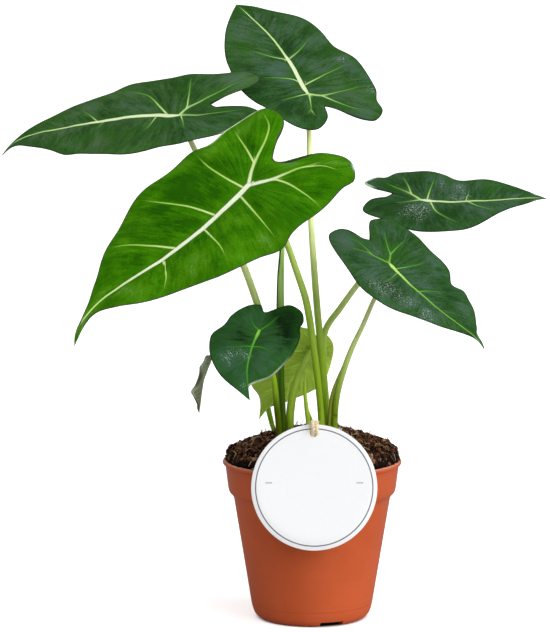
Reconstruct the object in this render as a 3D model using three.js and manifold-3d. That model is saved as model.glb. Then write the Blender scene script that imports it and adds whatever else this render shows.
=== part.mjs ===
// A potted green velvet alocasia: arrow-shaped leaves on long stalks, in a round nursery pot of
// terracotta-coloured plastic filled with peat, with a blank round card tied to it with jute twine.
// Millimetres, +Z up. The origin is the middle of the pot's underside, and -Y is the tag's side.

import * as THREE from 'three';
import { mergeVertices } from 'three/addons/utils/BufferGeometryUtils.js';
import Module from 'manifold-3d';

const wasm = await Module();
wasm.setup();

// Clearance between pieces that touch, and the little more that a faceted surface needs for it
const gap = 0.3;
const facetGap = gap + 0.05;

// The pot: a 12 cm nursery pot
const rimRadius = 60;
const potHeight = 107;
const lipHeight = 3.3;
const collarTopRadius = 58.1;
const collarFootRadius = 56.1;
const collarFootHeight = 87.5;
const bodyTopRadius = 52.4;
const bodyTopHeight = 81.5;
const footRadius = 33.8;
const padRadius = 14;
const recessRadius = 29;
const recessHeight = 4;
const floorHeight = 6;
const wall = 1.6;
const roundSegments = 48;
const notchCount = 3;
const notchWidth = 16;
const notchHeight = 3.5;
const notchDepth = 12;
const notchTurn = THREE.MathUtils.degToRad(20);
const drainCount = 6;
const drainRadius = 3;
const drainCircle = 22;
const drainSegments = 14;

// The soil
const edgeRise = 3;
const moundHeight = 17;
const soilLean = 1.5;
const leftHeap = 3;
const soilRoughness = 0.8;
const crumbCount = 30;
const crumbSpread = 48;
const moundRadii = [56.8, 51, 42, 32, 21, 10, 0];
const moundEdgeDrop = 0.8;

// The tag and its twine
const tagRadius = 41;
const tagThickness = 0.8;
const tagTilt = THREE.MathUtils.degToRad(8);
const tagCentre = new THREE.Vector3(0.7, -61.65, 98.8);
const tagHoleRadius = 3.4;
const tagHoleAcross = -0.2;
const tagHoleUp = 34.3;
const tagSegments = 36;
const twineRadius = 1.1;
const twineSides = 8;
const twineSteps = 64;

// The stems go into the soil down to this height
const stemFootHeight = 99;
const stemSides = 8;

// The leaves
const bladeThickness = 0.8;
const bladeRows = 21;
const bladeColumns = 3;
const spineSamples = 120;
const tipStart = 0.84;
const stalkReach = 7;

// A side vein bows towards the notch by this share of its length, and the waved edge is level this
// close to the notch and to the tip, as a share of the edge
const veinBow = 0.07;
const levelEnd = 0.08;

// A seeded generator of numbers from 0 to 1, so that every build is alike
function randomFrom(seed) {
  let state = seed;
  return () => {
    state = (state + 0x6d2b79f5) | 0;
    let mixed = Math.imul(state ^ (state >>> 15), 1 | state);
    mixed = (mixed + Math.imul(mixed ^ (mixed >>> 7), 61 | mixed)) ^ mixed;
    return ((mixed ^ (mixed >>> 14)) >>> 0) / 4294967296;
  };
}

// Joining and cutting of closed meshes

function weld(geometry) {
  const bare = geometry.clone();
  bare.deleteAttribute('normal');
  bare.deleteAttribute('uv');
  return mergeVertices(bare, 1e-4);
}

function toSolid(geometry) {
  const welded = weld(geometry);
  const position = welded.getAttribute('position');
  const corners = welded.getIndex().array;
  const triangles = [];
  for (let i = 0; i < corners.length; i += 3) {
    const [a, b, c] = [corners[i], corners[i + 1], corners[i + 2]];
    if (a !== b && b !== c && c !== a) {
      triangles.push(a, b, c);
    }
  }
  const mesh = new wasm.Mesh({
    numProp: 3,
    vertProperties: new Float32Array(position.array),
    triVerts: new Uint32Array(triangles),
  });
  return new wasm.Manifold(mesh);
}

function toGeometry(solid) {
  const { vertProperties, triVerts } = solid.getMesh();
  const geometry = new THREE.BufferGeometry();
  geometry.setAttribute('position', new THREE.BufferAttribute(new Float32Array(vertProperties), 3));
  geometry.setIndex(new THREE.BufferAttribute(new Uint32Array(triVerts), 1));
  geometry.computeVertexNormals();
  return geometry;
}

// A closed round body from a profile of [radius, height] points that starts and ends on the axis
function turned(profile) {
  const points = profile.map(([radius, height]) => new THREE.Vector2(radius, height));
  return new THREE.LatheGeometry(points, roundSegments).rotateX(Math.PI / 2);
}

const materials = {
  pot: new THREE.MeshStandardMaterial({ color: 0xbc5c3a, roughness: 0.5, metalness: 0 }),
  soil: new THREE.MeshStandardMaterial({ color: 0x4a3526, roughness: 1, metalness: 0 }),
  card: new THREE.MeshStandardMaterial({ color: 0xf7f8f9, roughness: 0.6, metalness: 0 }),
  twine: new THREE.MeshStandardMaterial({ color: 0xd8c59c, roughness: 0.9, metalness: 0 }),
  darkLeaf: new THREE.MeshStandardMaterial({ color: 0x355a33, roughness: 0.7, metalness: 0 }),
  brightLeaf: new THREE.MeshStandardMaterial({ color: 0x3f7a12, roughness: 0.45, metalness: 0 }),
  paleLeaf: new THREE.MeshStandardMaterial({ color: 0x85a13b, roughness: 0.6, metalness: 0 }),
  dryLeaf: new THREE.MeshStandardMaterial({ color: 0x5b6150, roughness: 0.9, metalness: 0 }),
  stalk: new THREE.MeshStandardMaterial({ color: 0x6b8b26, roughness: 0.5, metalness: 0 }),
};

const plant = new THREE.Group();

function addPiece(name, geometry, material) {
  const piece = new THREE.Mesh(geometry, material);
  piece.name = name;
  plant.add(piece);
  return piece;
}

// The pot: body, collar and rolled lip, a recess underneath with a middle pad and a notched foot ring
function potGeometry() {
  const profile = [
    [0, 0],
    [padRadius, 0],
    [padRadius + 1.5, recessHeight],
    [recessRadius, recessHeight],
    [recessRadius + 1.5, 0],
    [footRadius, 0],
    [footRadius + 2.8, 1],
    [footRadius + 5, 3.6],
    [footRadius + 6.4, 7.5],
    [footRadius + 7.2, 12],
    [bodyTopRadius, bodyTopHeight],
    [bodyTopRadius + 1.1, 83.6],
    [collarFootRadius - 0.8, 85.2],
    [collarFootRadius, collarFootHeight],
    [collarTopRadius, potHeight - lipHeight],
    [rimRadius - 0.7, potHeight - 3],
    [rimRadius, potHeight - 1.7],
    [rimRadius - 0.6, potHeight - 0.4],
    [rimRadius - 2, potHeight],
    [rimRadius - 3.4, potHeight - 0.6],
    [collarTopRadius - wall - 0.1, potHeight - 2.6],
    [collarFootRadius - wall, collarFootHeight + 0.5],
    [bodyTopRadius - wall + 0.1, 84],
    [bodyTopRadius - wall, bodyTopHeight],
    [footRadius + 5.2, 9.8],
    [footRadius + 3.8, 7],
    [footRadius + 2.2, floorHeight],
    [0, floorHeight],
  ];
  let pot = toSolid(turned(profile));
  for (let i = 0; i < notchCount; i += 1) {
    const turn = notchTurn + (i * 2 * Math.PI) / notchCount;
    const notch = new THREE.BoxGeometry(notchWidth, 2 * notchDepth, 2 * notchHeight);
    notch.translate(0, -(footRadius + 3), 0).rotateZ(turn);
    pot = pot.subtract(toSolid(notch));
  }
  for (let i = 0; i < drainCount; i += 1) {
    const turn = notchTurn + (i * 2 * Math.PI) / drainCount;
    const drain = new THREE.CylinderGeometry(drainRadius, drainRadius, 3 * floorHeight, drainSegments);
    drain.rotateX(Math.PI / 2).translate(0, -drainCircle, 0).rotateZ(turn);
    pot = pot.subtract(toSolid(drain));
  }
  return toGeometry(pot);
}

addPiece('pot', potGeometry(), materials.pot);

// A stalk: a tapering round stem through a list of [x, y, z, radius] points, closed at both ends.
// grow thickens it all round, which gives the plain hole that it stands in.
function stalkGeometry(points, grow = 0) {
  const path = new THREE.CatmullRomCurve3(points.map(([x, y, z]) => new THREE.Vector3(x, y, z)));
  const steps = 2 * (points.length - 1);
  const frames = path.computeFrenetFrames(steps, false);
  const vertices = [];
  for (let i = 0; i <= steps; i += 1) {
    const share = i / steps;
    const along = path.getUtoTmapping(share) * (points.length - 1);
    const before = Math.min(Math.floor(along), points.length - 2);
    const [from, to] = [points[before][3], points[before + 1][3]];
    const radius = THREE.MathUtils.lerp(from, to, along - before) + grow;
    const centre = path.getPointAt(share);
    if (i === 0) {
      centre.addScaledVector(frames.tangents[0], -grow);
    }
    if (i === steps) {
      centre.addScaledVector(frames.tangents[steps], grow);
    }
    for (let j = 0; j < stemSides; j += 1) {
      const turn = (j * 2 * Math.PI) / stemSides;
      const spoke = new THREE.Vector3()
        .addScaledVector(frames.normals[i], Math.cos(turn) * radius)
        .addScaledVector(frames.binormals[i], Math.sin(turn) * radius);
      vertices.push(...centre.clone().add(spoke).toArray());
    }
  }
  const faces = [];
  for (let i = 0; i < steps; i += 1) {
    for (let j = 0; j < stemSides; j += 1) {
      const a = i * stemSides + j;
      const b = i * stemSides + ((j + 1) % stemSides);
      faces.push(a, b, b + stemSides, a, b + stemSides, a + stemSides);
    }
  }
  const last = steps * stemSides;
  for (let j = 1; j < stemSides - 1; j += 1) {
    faces.push(0, j + 1, j);
    faces.push(last, last + j, last + j + 1);
  }
  return indexed(vertices, faces);
}

function indexed(vertices, faces) {
  const geometry = new THREE.BufferGeometry();
  geometry.setAttribute('position', new THREE.Float32BufferAttribute(vertices, 3));
  geometry.setIndex(faces);
  geometry.computeVertexNormals();
  return geometry;
}

// Each leaf's blade is drawn flat first, in millimetres: [along, across] from the stalk's joint, with
// along towards the tip and across to the left of the upper face. spine runs from the notch between
// the lobes over the joint at [0, 0] to the tip. left and right are the two edges from notch to tip.
// veins gives, for a lobe's rib, its branch and each later side vein, where it leaves the spine and
// how far along each edge it ends, from 0 at the notch to 1 at the tip.
// The flat blade is then arched along the spine (degrees per 100 mm), raised a little on both sides
// of it, waved at the edge, turned (heading, rise of the tip, roll, in degrees) and set at its joint.
const leaves = [
  {
    name: 'blade_top',
    material: materials.darkLeaf,
    joint: [-2, 72, 347],
    heading: 124,
    rise: 36,
    roll: -17,
    arch: 5,
    lobeArch: 16,
    tipArch: 10,
    lift: 0.1,
    curl: 0.16,
    wave: 1.5,
    waves: 4,
    phases: [0.3, 1.9],
    spine: [[-15, -5], [0, 0], [30, -3], [64, -4], [108, 1]],
    left: [
      [-28, 0], [-33, 9], [-30, 17], [-19, 28], [-7, 33], [8, 38], [27, 42], [43, 39], [67, 31],
      [95, 13],
    ],
    right: [
      [-37, -25], [-40, -31], [-35, -39], [-25, -40], [-12, -46], [16, -46], [36, -40], [56, -38],
      [84, -25], [103, -4],
    ],
    veins: [[0, 0.11, 0.19], [1, 0.37, 0.34], [12, 0.51, 0.48], [38, 0.74, 0.7], [70, 0.87, 0.86]],
    stalk: [
      [-1.6, 66, 320, 1.6], [-1.6, 52, 290, 1.7], [-0.5, 40, 262, 1.9], [1.5, 28, 231, 2.1],
      [3.5, 19, 205, 2.3], [5.6, 12, 182, 2.4], [8, 4.5, 146, 2.4], [9, 2.5, 127, 2.5],
    ],
  },
  {
    name: 'blade_front',
    material: materials.brightLeaf,
    joint: [-42, -44, 294],
    heading: -158,
    rise: -33,
    roll: -31,
    arch: 7,
    lobeArch: 14,
    tipArch: 200,
    lift: 0.1,
    curl: 0.16,
    wave: 2.4,
    waves: 5,
    phases: [0.5, 2.4],
    spine: [[-26, -8], [0, 0], [41, 6], [74, 5], [122, -3], [157, 1]],
    left: [
      [-25, -3], [-31, 5], [-52, 11], [-60, 24], [-58, 38], [-50, 49], [-41, 48], [-12, 55.5],
      [6, 58], [18, 61], [32, 54], [60, 49.5], [84, 33.5], [107, 23], [118, 13], [128, 2], [133, 0],
      [142, 1.1], [150, 2.3],
    ],
    right: [
      [-38, -19], [-52, -31], [-50, -49], [-38, -54], [-22, -54], [-3, -47], [11, -54], [40, -52],
      [65, -48], [83, -40], [111, -20.5], [121, -15.4], [131, -8.3], [140, -2.3], [150, -0.4],
    ],
    veins: [[0, 0.19, 0.2], [1, 0.37, 0.28], [6, 0.48, 0.41], [36, 0.62, 0.61], [70, 0.76, 0.77]],
    stalk: [
      [-33, -36, 281, 1.5], [-25, -30, 269, 1.8], [-17.5, -24, 255, 2], [-11, -17, 236, 2],
      [-4.4, -11, 215, 2.2], [1, -6, 181, 2.3], [5, -3.2, 147, 2.3], [6.2, -3, 128, 2.3],
    ],
  },
  {
    name: 'blade_left',
    material: materials.darkLeaf,
    joint: [-89, 30, 335],
    heading: 176,
    rise: -6,
    roll: -30,
    arch: 9,
    lobeArch: 12,
    tipArch: 150,
    lift: 0.08,
    curl: 0.14,
    wave: 1.2,
    waves: 5,
    phases: [1.2, 0.2],
    spine: [[-21, -10], [0, 0], [20, -4], [68, -6], [111, -6], [126, 1]],
    left: [
      [-26, -5], [-46, -6], [-55, 3], [-53, 11], [-28, 26], [-3, 37], [13, 36], [37, 41], [66, 29],
      [77, 28.3], [87, 20.8], [103, 6.5], [114, 0.5],
    ],
    right: [
      [-38, -22], [-54, -41], [-51, -47], [-30, -49], [-9, -50], [6, -45], [33, -48], [49, -36],
      [74, -32], [90, -20], [112, -11],
    ],
    veins: [[0, 0.18, 0.18], [1, 0.42, 0.4], [12, 0.57, 0.63], [54, 0.7, 0.75], [82, 0.81, 0.85]],
    stalk: [
      [-86, 33.5, 326, 1.5], [-81.3, 33, 317, 1.7], [-75.5, 31, 305, 1.8], [-65.6, 27, 282, 2],
      [-54.8, 21, 255, 2.1], [-45.8, 16, 235, 2.2], [-36.6, 10, 210, 2.3], [-28, 6, 183, 2.4],
      [-24.2, 3.5, 156, 2.3], [-22.4, 2, 136, 2.2], [-22.2, 2, 126, 2.2],
    ],
  },
  {
    name: 'blade_right_upper',
    material: materials.darkLeaf,
    joint: [74, 42, 277],
    heading: -3,
    rise: 5,
    roll: 34,
    arch: 10,
    lobeArch: 12,
    tipArch: 100,
    lift: 0.08,
    curl: 0.14,
    wave: 1.2,
    waves: 4,
    phases: [2.2, 0.9],
    spine: [[-19, 10], [0, 0], [19, -4], [50, -4], [85, 0]],
    left: [
      [-29, 16], [-38, 25], [-30, 27], [-23, 26], [-14, 32], [17, 24], [26, 19], [45, 16], [64, 11],
      [77, 2],
    ],
    right: [
      [-24, 6], [-35, 5], [-40, -2], [-36, -10], [-22, -22], [7, -37], [23, -36], [40, -28],
      [52, -20], [65, -10], [77, -4],
    ],
    veins: [[0, 0.15, 0.15], [1, 0.33, 0.35], [5, 0.49, 0.54], [27, 0.66, 0.69], [48, 0.81, 0.84]],
    stalk: [
      [70, 45, 267, 1.4], [60, 38, 254, 1.5], [45, 31, 238, 1.6], [30.3, 25, 221, 1.8],
      [19, 21, 206, 1.9], [9, 19.5, 191, 2], [8, 16.5, 168, 2], [10, 11, 142, 2],
      [11, 8.4, 127, 2],
    ],
  },
  {
    name: 'blade_low_front',
    material: materials.darkLeaf,
    joint: [-35, -44, 199],
    heading: -100,
    rise: -44,
    roll: 3,
    arch: 12,
    lobeArch: 14,
    tipArch: 250,
    lift: 0.1,
    curl: 0.2,
    wave: 0.9,
    waves: 3,
    phases: [0.7, 2.9],
    spine: [[-16, 3], [0, 0], [13, -3], [30, -4], [54, 0]],
    left: [
      [-18, 10], [-21, 18], [-16, 26], [-6, 29], [0, 27.4], [7, 28.2], [28, 20.5], [38, 12.5],
      [41.5, 2.5], [44.5, -1.3],
    ],
    right: [
      [-16, 1], [-22, -2], [-22, -9], [-12, -19.8], [-5, -23.7], [1, -30.6], [5, -32], [20, -30],
      [32, -24], [43, -14],
    ],
    veins: [[0, 0.2, 0.13], [1, 0.35, 0.32], [13, 0.66, 0.64], [22, 0.83, 0.78], [31, 0.91, 0.9]],
    stalk: [
      [-31, -33, 187, 1.4], [-26, -24, 166, 1.7], [-23.8, -16, 145, 2], [-22.6, -11.5, 132, 2.1],
      [-22.3, -9.5, 124, 2.1],
    ],
  },
  {
    name: 'blade_right',
    material: materials.darkLeaf,
    joint: [50, -22, 241],
    heading: -24,
    rise: -33,
    roll: 22,
    arch: 10,
    lobeArch: 14,
    tipArch: 250,
    lift: 0.1,
    curl: 0.16,
    wave: 1.4,
    waves: 4,
    phases: [1.7, 0.4],
    spine: [[-22, 8], [0, 0], [21, -4], [48, -5], [86, 0]],
    left: [
      [-30, 19], [-33, 27], [-24, 36], [-14, 38], [-2, 40], [14, 33], [30, 31], [39, 22], [47, 22.7],
      [54, 18.8], [63, 15], [71.7, 6.2], [75.5, 1],
    ],
    right: [
      [-26, 4], [-40, 0], [-43, -9], [-38, -17], [-27, -26], [-10, -32], [9, -40], [22, -39],
      [38, -28], [57, -20], [72, -4],
    ],
    veins: [[0, 0.14, 0.18], [1, 0.34, 0.39], [8, 0.56, 0.54], [29, 0.77, 0.69], [49, 0.88, 0.83]],
    stalk: [
      [46.6, -15, 228, 1.3], [40.7, -12, 216, 1.4], [33.2, -9, 198, 1.5], [25.6, -6, 181, 1.7],
      [19.2, -4, 162, 2], [15.9, -3, 147, 2.2], [14.8, -2, 130, 2.3],
    ],
  },
  {
    name: 'blade_hanging',
    material: materials.paleLeaf,
    joint: [-1, 26, 178.6],
    heading: 176,
    rise: -52,
    roll: 56,
    arch: 10,
    lobeArch: 10,
    tipArch: 150,
    lift: 0.1,
    curl: 0.2,
    wave: 0.8,
    waves: 3,
    phases: [0.2, 1.4],
    spine: [[-8, 0], [0, 0], [10, -2], [28, -4], [60, -1]],
    left: [[-10, 5], [-9, 13], [-5, 22], [6, 26], [23, 26], [32, 25], [43, 19], [47, 9], [53, 3]],
    right: [[-12, -2], [-13, -7], [-10, -14], [3, -24], [15, -27], [29, -22], [42, -11], [50, -3]],
    veins: [[0, 0.17, 0.11], [1, 0.36, 0.35], [11, 0.57, 0.57], [22, 0.76, 0.74], [35, 0.9, 0.89]],
    stalk: [
      [-0.5, 18, 176.5, 1.8], [-5, 14, 170, 1.9], [-9, 10.5, 162, 2], [-12.7, 6, 150, 2.3],
      [-14.6, 2.4, 138, 2.6], [-15, 1, 126, 2.8],
    ],
  },
  {
    name: 'blade_withered',
    material: materials.dryLeaf,
    joint: [-68, 10, 171],
    heading: 190,
    rise: -74,
    roll: 30,
    arch: 10,
    lobeArch: 10,
    tipArch: 60,
    lift: 0.9,
    curl: 0.2,
    wave: 0.5,
    waves: 2,
    phases: [0.2, 1.4],
    spine: [[-4, 0], [0, 0], [6, 2.5], [12, 4.8], [18, 3.2], [26, 0.5], [35.5, -3]],
    left: [[-4, 2], [2, 4], [8, 5], [13, 6.2], [18, 6.2], [22, 7], [25, 4.8], [30, 1]],
    right: [[-4, -2], [3, -4], [8, 0.5], [12.5, 3.6], [17, 0.5], [21, -1.5], [28, -4], [33, -4.5]],
    veins: [[0, 0.1, 0.1], [1, 0.25, 0.25], [8, 0.4, 0.4], [16, 0.6, 0.6], [26, 0.8, 0.8]],
    hangs: true,
    stalk: [
      [-60, 21, 187, 0.9], [-50, 36, 182, 1], [-40, 45, 165, 1.1], [-31.8, 40, 143, 1.2],
      [-27, 24, 127, 1.3], [-25, 14, 121, 1.3],
    ],
  },
];

function curveThrough(points) {
  return new THREE.CatmullRomCurve3(points.map(([along, across]) => new THREE.Vector3(along, across, 0)));
}

// Value of a bent line of [place, value] pairs, in rising order of place
function interpolate(pairs, place) {
  for (let i = 1; i < pairs.length; i += 1) {
    const [from, start] = pairs[i - 1];
    const [to, end] = pairs[i];
    if (place <= to || i === pairs.length - 1) {
      return THREE.MathUtils.clamp((place - from) / (to - from), 0, 1) * (end - start) + start;
    }
  }
  return pairs[0][1];
}

// The arched spine seen from the side: where a point along it lies, and how far it has turned down
function archAt(leaf, along) {
  const perMillimetre = THREE.MathUtils.degToRad(along < 0 ? leaf.lobeArch : leaf.arch) / 100;
  const tipPerMillimetre = THREE.MathUtils.degToRad(leaf.tipArch) / 100;
  const tipFrom = tipStart * leaf.spine.at(-1)[0];
  const straight = Math.min(along, tipFrom) * perMillimetre;
  let forward = Math.sin(straight) / perMillimetre;
  let down = (1 - Math.cos(straight)) / perMillimetre;
  let turn = straight;
  if (along > tipFrom) {
    turn = straight + (along - tipFrom) * tipPerMillimetre;
    forward += (Math.sin(turn) - Math.sin(straight)) / tipPerMillimetre;
    down += (Math.cos(straight) - Math.cos(turn)) / tipPerMillimetre;
  }
  return { forward, down, turn };
}

function bladeGeometry(leaf) {
  const spineCurve = curveThrough(leaf.spine);
  const spinePairs = spineCurve.getSpacedPoints(spineSamples).map((point) => [point.x, point.y]);
  const notch = leaf.spine[0];
  const tip = leaf.spine.at(-1);
  const edges = [leaf.left, leaf.right].map((side) => curveThrough([notch, ...side, tip]));
  const last = leaf.veins.length + 2;
  const spineStops = [[0, notch[0]], [1, notch[0] / 2]];
  const edgeStops = [0, 1].map((side) => [[0, 0], [1, leaf.veins[0][side + 1] / 2]]);
  leaf.veins.forEach(([along, leftEnd, rightEnd], k) => {
    spineStops.push([k + 2, along]);
    edgeStops[0].push([k + 2, leftEnd]);
    edgeStops[1].push([k + 2, rightEnd]);
  });
  spineStops.push([last, tip[0]]);
  edgeStops.forEach((stops) => stops.push([last, 1]));

  // One point of the blade: row 0 is at the notch and the last row at the tip; reach 0 is on the
  // spine and 1 on the edge
  function place(row, side, reach, level) {
    const along = interpolate(spineStops, row);
    const start = new THREE.Vector3(along, interpolate(spinePairs, along), 0);
    const share = interpolate(edgeStops[side], row);
    const end = edges[side].getPointAt(share);
    const length = start.distanceTo(end);
    const middle = start.clone().lerp(end, 0.5);
    if (row > 3) {
      middle.x -= veinBow * length;
    }
    const flat = start.clone().multiplyScalar((1 - reach) ** 2)
      .addScaledVector(middle, 2 * reach * (1 - reach))
      .addScaledVector(end, reach ** 2);
    const away = reach * length;
    const fade = THREE.MathUtils.clamp(Math.min(share, 1 - share) / levelEnd, 0, 1);
    const ripple = leaf.wave * fade * Math.sin(2 * Math.PI * leaf.waves * share + leaf.phases[side]);
    const height = leaf.lift * away - (leaf.curl * away ** 2) / 100 + ripple * reach ** 2 + level;
    const { forward, down, turn } = archAt(leaf, flat.x);
    return [forward + Math.sin(turn) * height, flat.y, Math.cos(turn) * height - down];
  }

  const vertices = [];
  const faces = [];
  const names = new Map();
  function vertex(face, side, i, j) {
    const single = i === 0 || i === bladeRows;
    const column = single ? 0 : j;
    const half = column === 0 ? 0 : side;
    const name = [face, half, i, column].join();
    if (!names.has(name)) {
      names.set(name, vertices.length / 3);
      const row = (i * last) / bladeRows;
      const level = (face === 0 ? 1 : -1) * bladeThickness / 2;
      vertices.push(...place(row, half, column / bladeColumns, level));
    }
    return names.get(name);
  }
  function triangle(a, b, c, flip) {
    if (a !== b && b !== c && c !== a) {
      faces.push(...(flip ? [a, c, b] : [a, b, c]));
    }
  }
  for (const side of [0, 1]) {
    for (let i = 0; i < bladeRows; i += 1) {
      for (let j = 0; j < bladeColumns; j += 1) {
        for (const face of [0, 1]) {
          const a = vertex(face, side, i, j);
          const b = vertex(face, side, i + 1, j);
          const c = vertex(face, side, i + 1, j + 1);
          const d = vertex(face, side, i, j + 1);
          const flip = (side === 1) !== (face === 1);
          triangle(a, b, c, flip);
          triangle(a, c, d, flip);
        }
      }
      const a = vertex(0, side, i, bladeColumns);
      const b = vertex(0, side, i + 1, bladeColumns);
      const c = vertex(1, side, i + 1, bladeColumns);
      const d = vertex(1, side, i, bladeColumns);
      triangle(a, b, c, side === 1);
      triangle(a, c, d, side === 1);
    }
  }
  return indexed(vertices, faces);
}

function bladeTurn(leaf) {
  const [heading, rise, roll] = [leaf.heading, leaf.rise, leaf.roll].map(THREE.MathUtils.degToRad);
  return new THREE.Euler(roll, -rise, heading, 'ZYX');
}

// Every stalk stands straight in the soil and ends square under its blade's joint, or at the blade's
// upper end where the blade hangs straight down from it
function stalkPoints(leaf) {
  const outward = leaf.hangs ? new THREE.Vector3(-1, 0, 0) : new THREE.Vector3(0, 0, -1);
  const bladeEnd = leaf.hangs ? -leaf.spine[0][0] : bladeThickness / 2;
  outward.applyEuler(bladeTurn(leaf));
  const joint = new THREE.Vector3(...leaf.joint);
  const neck = joint.clone().addScaledVector(outward, bladeEnd + stalkReach);
  const top = joint.clone().addScaledVector(outward, bladeEnd + facetGap);
  const neckRadius = leaf.stalk[0][3];
  const base = leaf.stalk.at(-1);
  return [
    [...top.toArray(), neckRadius],
    [...neck.toArray(), neckRadius],
    ...leaf.stalk,
    [base[0], base[1], 0.5 * (base[2] + stemFootHeight), base[3]],
    [base[0], base[1], stemFootHeight, base[3]],
  ];
}

const standing = [];

for (const leaf of leaves) {
  const blade = addPiece(leaf.name, bladeGeometry(leaf), leaf.material);
  blade.position.set(...leaf.joint);
  blade.rotation.copy(bladeTurn(leaf));
  const points = stalkPoints(leaf);
  addPiece(leaf.name.replace('blade', 'stalk'), stalkGeometry(points), materials.stalk);
  standing.push(points);
}

// The new leaf, still rolled into a spear, and a young shoot between the clumps
const spearPoints = [
  [-19, -9, 279, 0.4], [-19.3, -8, 267, 1.1], [-20, -7, 250, 1.7], [-21, -6, 231, 2.3], [-21.2, -5, 211, 2.6],
  [-21, -4, 188, 2.3], [-20.6, -3.2, 161, 2.1], [-19.6, -2.8, 140, 2.1], [-19.6, -2.8, 126, 2.1],
  [-19.6, -2.8, 112, 2.1], [-19.6, -2.8, stemFootHeight, 2.1],
];
addPiece('spear_leaf', stalkGeometry(spearPoints), materials.stalk);
standing.push(spearPoints);

const shootPoints = [
  [-5, -4.5, 166, 0.4], [-4.8, -4.3, 151, 1.1], [-4, -4, 143, 1.3], [-2.2, -4, 127, 1.6],
  [-2, -4, 113, 1.7], [-2, -4, stemFootHeight, 1.7],
];
addPiece('young_shoot', stalkGeometry(shootPoints), materials.stalk);
standing.push(shootPoints);

// The tag: a round card that leans on the pot's lip, with a hole near its top
function tagGeometry() {
  const outline = new THREE.Shape().absarc(0, 0, tagRadius, 0, 2 * Math.PI);
  const hole = new THREE.Path();
  hole.absarc(tagHoleAcross, tagHoleUp, tagHoleRadius, 0, 2 * Math.PI, true);
  outline.holes.push(hole);
  const size = { depth: tagThickness, bevelEnabled: false, curveSegments: tagSegments };
  return new THREE.ExtrudeGeometry(outline, size).translate(0, 0, -tagThickness / 2);
}

const tagPlace = new THREE.Group();
tagPlace.position.copy(tagCentre);
tagPlace.rotation.x = Math.PI / 2 - tagTilt;
plant.add(tagPlace);
const tag = new THREE.Mesh(tagGeometry(), materials.card);
tag.name = 'tag';
tagPlace.add(tag);
tagPlace.updateMatrixWorld(true);

// The twine: one closed loop. Both strands come over the card's top edge, go down into its hole and
// turn round behind it, and the far end of the loop goes round the right-hand clump of stems.
function twineGeometry(grow = 0) {
  const [left, right] = [-0.9, 1.5];
  const onCard = (across, [up, out]) => {
    const spot = new THREE.Vector3(across, up, out);
    return tagPlace.localToWorld(spot);
  };
  const overEdge = [
    [40.6, -2.3], [42.4, -0.5], [42.3, 1], [40.6, 1.95], [37.4, 2.1], [34.4, 0], [32.2, -3],
  ];
  const roundTheStems = [
    [4, -46, 134], [9, -27, 129.5], [15.3, -11, 127.3], [18.4, -0.5, 126.3], [16.6, 9.6, 126],
    [10.5, 13.8, 126.3], [4, 8.5, 126.6], [2.2, -2.5, 127], [1.6, -14, 127.8], [0.4, -30, 130.5],
    [-0.4, -47, 134.5],
  ];
  const points = [
    ...overEdge.map((spot) => onCard(left, spot)),
    onCard(-1.6, [30.6, -5]),
    onCard(0.3, [29.6, -6]),
    onCard(2.2, [30.6, -5]),
    ...overEdge.toReversed().map((spot) => onCard(right, spot)),
    ...roundTheStems.map((point) => new THREE.Vector3(...point)),
  ];
  const path = new THREE.CatmullRomCurve3(points, true);
  return weld(new THREE.TubeGeometry(path, twineSteps, twineRadius + grow, twineSides, true));
}

addPiece('tag_twine', twineGeometry(), materials.twine);

// Height of the soil's surface: a mound from just above the lip, higher at the right and heaped up at
// the left edge
function moundAt(x, y) {
  const share = Math.hypot(x, y) / rimRadius;
  const lean = (soilLean * x) / rimRadius;
  const heap = leftHeap * (Math.max(0, -x) / rimRadius) ** 6;
  return potHeight + edgeRise + moundHeight * (1 - share ** 2) + lean + heap;
}

// The soil: it fills the pot, rises to a rough mound that lies over the lip's inner side, and has a
// plain hole for each stem and a shallow bed where the twine lies on it. What the cuts leave loose is
// dropped.
function soilGeometry() {
  const mound = moundRadii.map((radius) => [radius, moundAt(0, radius)]);
  mound[0][1] -= moundEdgeDrop;
  const profile = [
    [0, floorHeight + gap],
    [footRadius + 2, floorHeight + gap],
    [footRadius + 3.5, floorHeight + gap + 0.9],
    [footRadius + 4.9, 10.1],
    [bodyTopRadius - wall - 0.4, bodyTopHeight + 0.4],
    [bodyTopRadius - wall - 0.3, 84.3],
    [collarFootRadius - wall - 0.35, collarFootHeight + 0.8],
    [collarTopRadius - wall - 0.5, potHeight - 3.2],
    [collarTopRadius - wall - 0.9, potHeight - 0.8],
    [rimRadius - 3.8, potHeight + 0.4],
    [rimRadius - 2.4, potHeight + 0.7],
    ...mound,
  ];
  const random = randomFrom(7);
  const rough = weld(turned(profile));
  const position = rough.getAttribute('position');
  for (let i = 0; i < position.count; i += 1) {
    const z = position.getZ(i);
    if (z > potHeight + 1) {
      const [x, y] = [position.getX(i), position.getY(i)];
      const shift = moundAt(x, y) - moundAt(0, Math.hypot(x, y));
      position.setZ(i, z + shift + soilRoughness * (2 * random() - 1));
    }
  }
  let soil = toSolid(rough);
  for (let i = 0; i < crumbCount; i += 1) {
    const radius = 1.4 + 2 * random() ** 2;
    const away = crumbSpread * Math.sqrt(random());
    const turn = 2 * Math.PI * random();
    const [x, y] = [away * Math.cos(turn), away * Math.sin(turn)];
    const crumb = new THREE.IcosahedronGeometry(radius, 0);
    crumb.rotateX(3 * random()).rotateY(3 * random()).scale(1.2, 1, 0.8);
    crumb.translate(x, y, moundAt(x, y) + 0.1 * radius);
    soil = soil.add(toSolid(crumb));
  }
  for (const points of standing) {
    soil = soil.subtract(toSolid(stalkGeometry(points, facetGap)));
  }
  soil = soil.subtract(toSolid(twineGeometry(facetGap)));
  const bodies = soil.decompose();
  return toGeometry(bodies.sort((one, other) => other.volume() - one.volume())[0]);
}

addPiece('soil', soilGeometry(), materials.soil);

export default plant;
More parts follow.
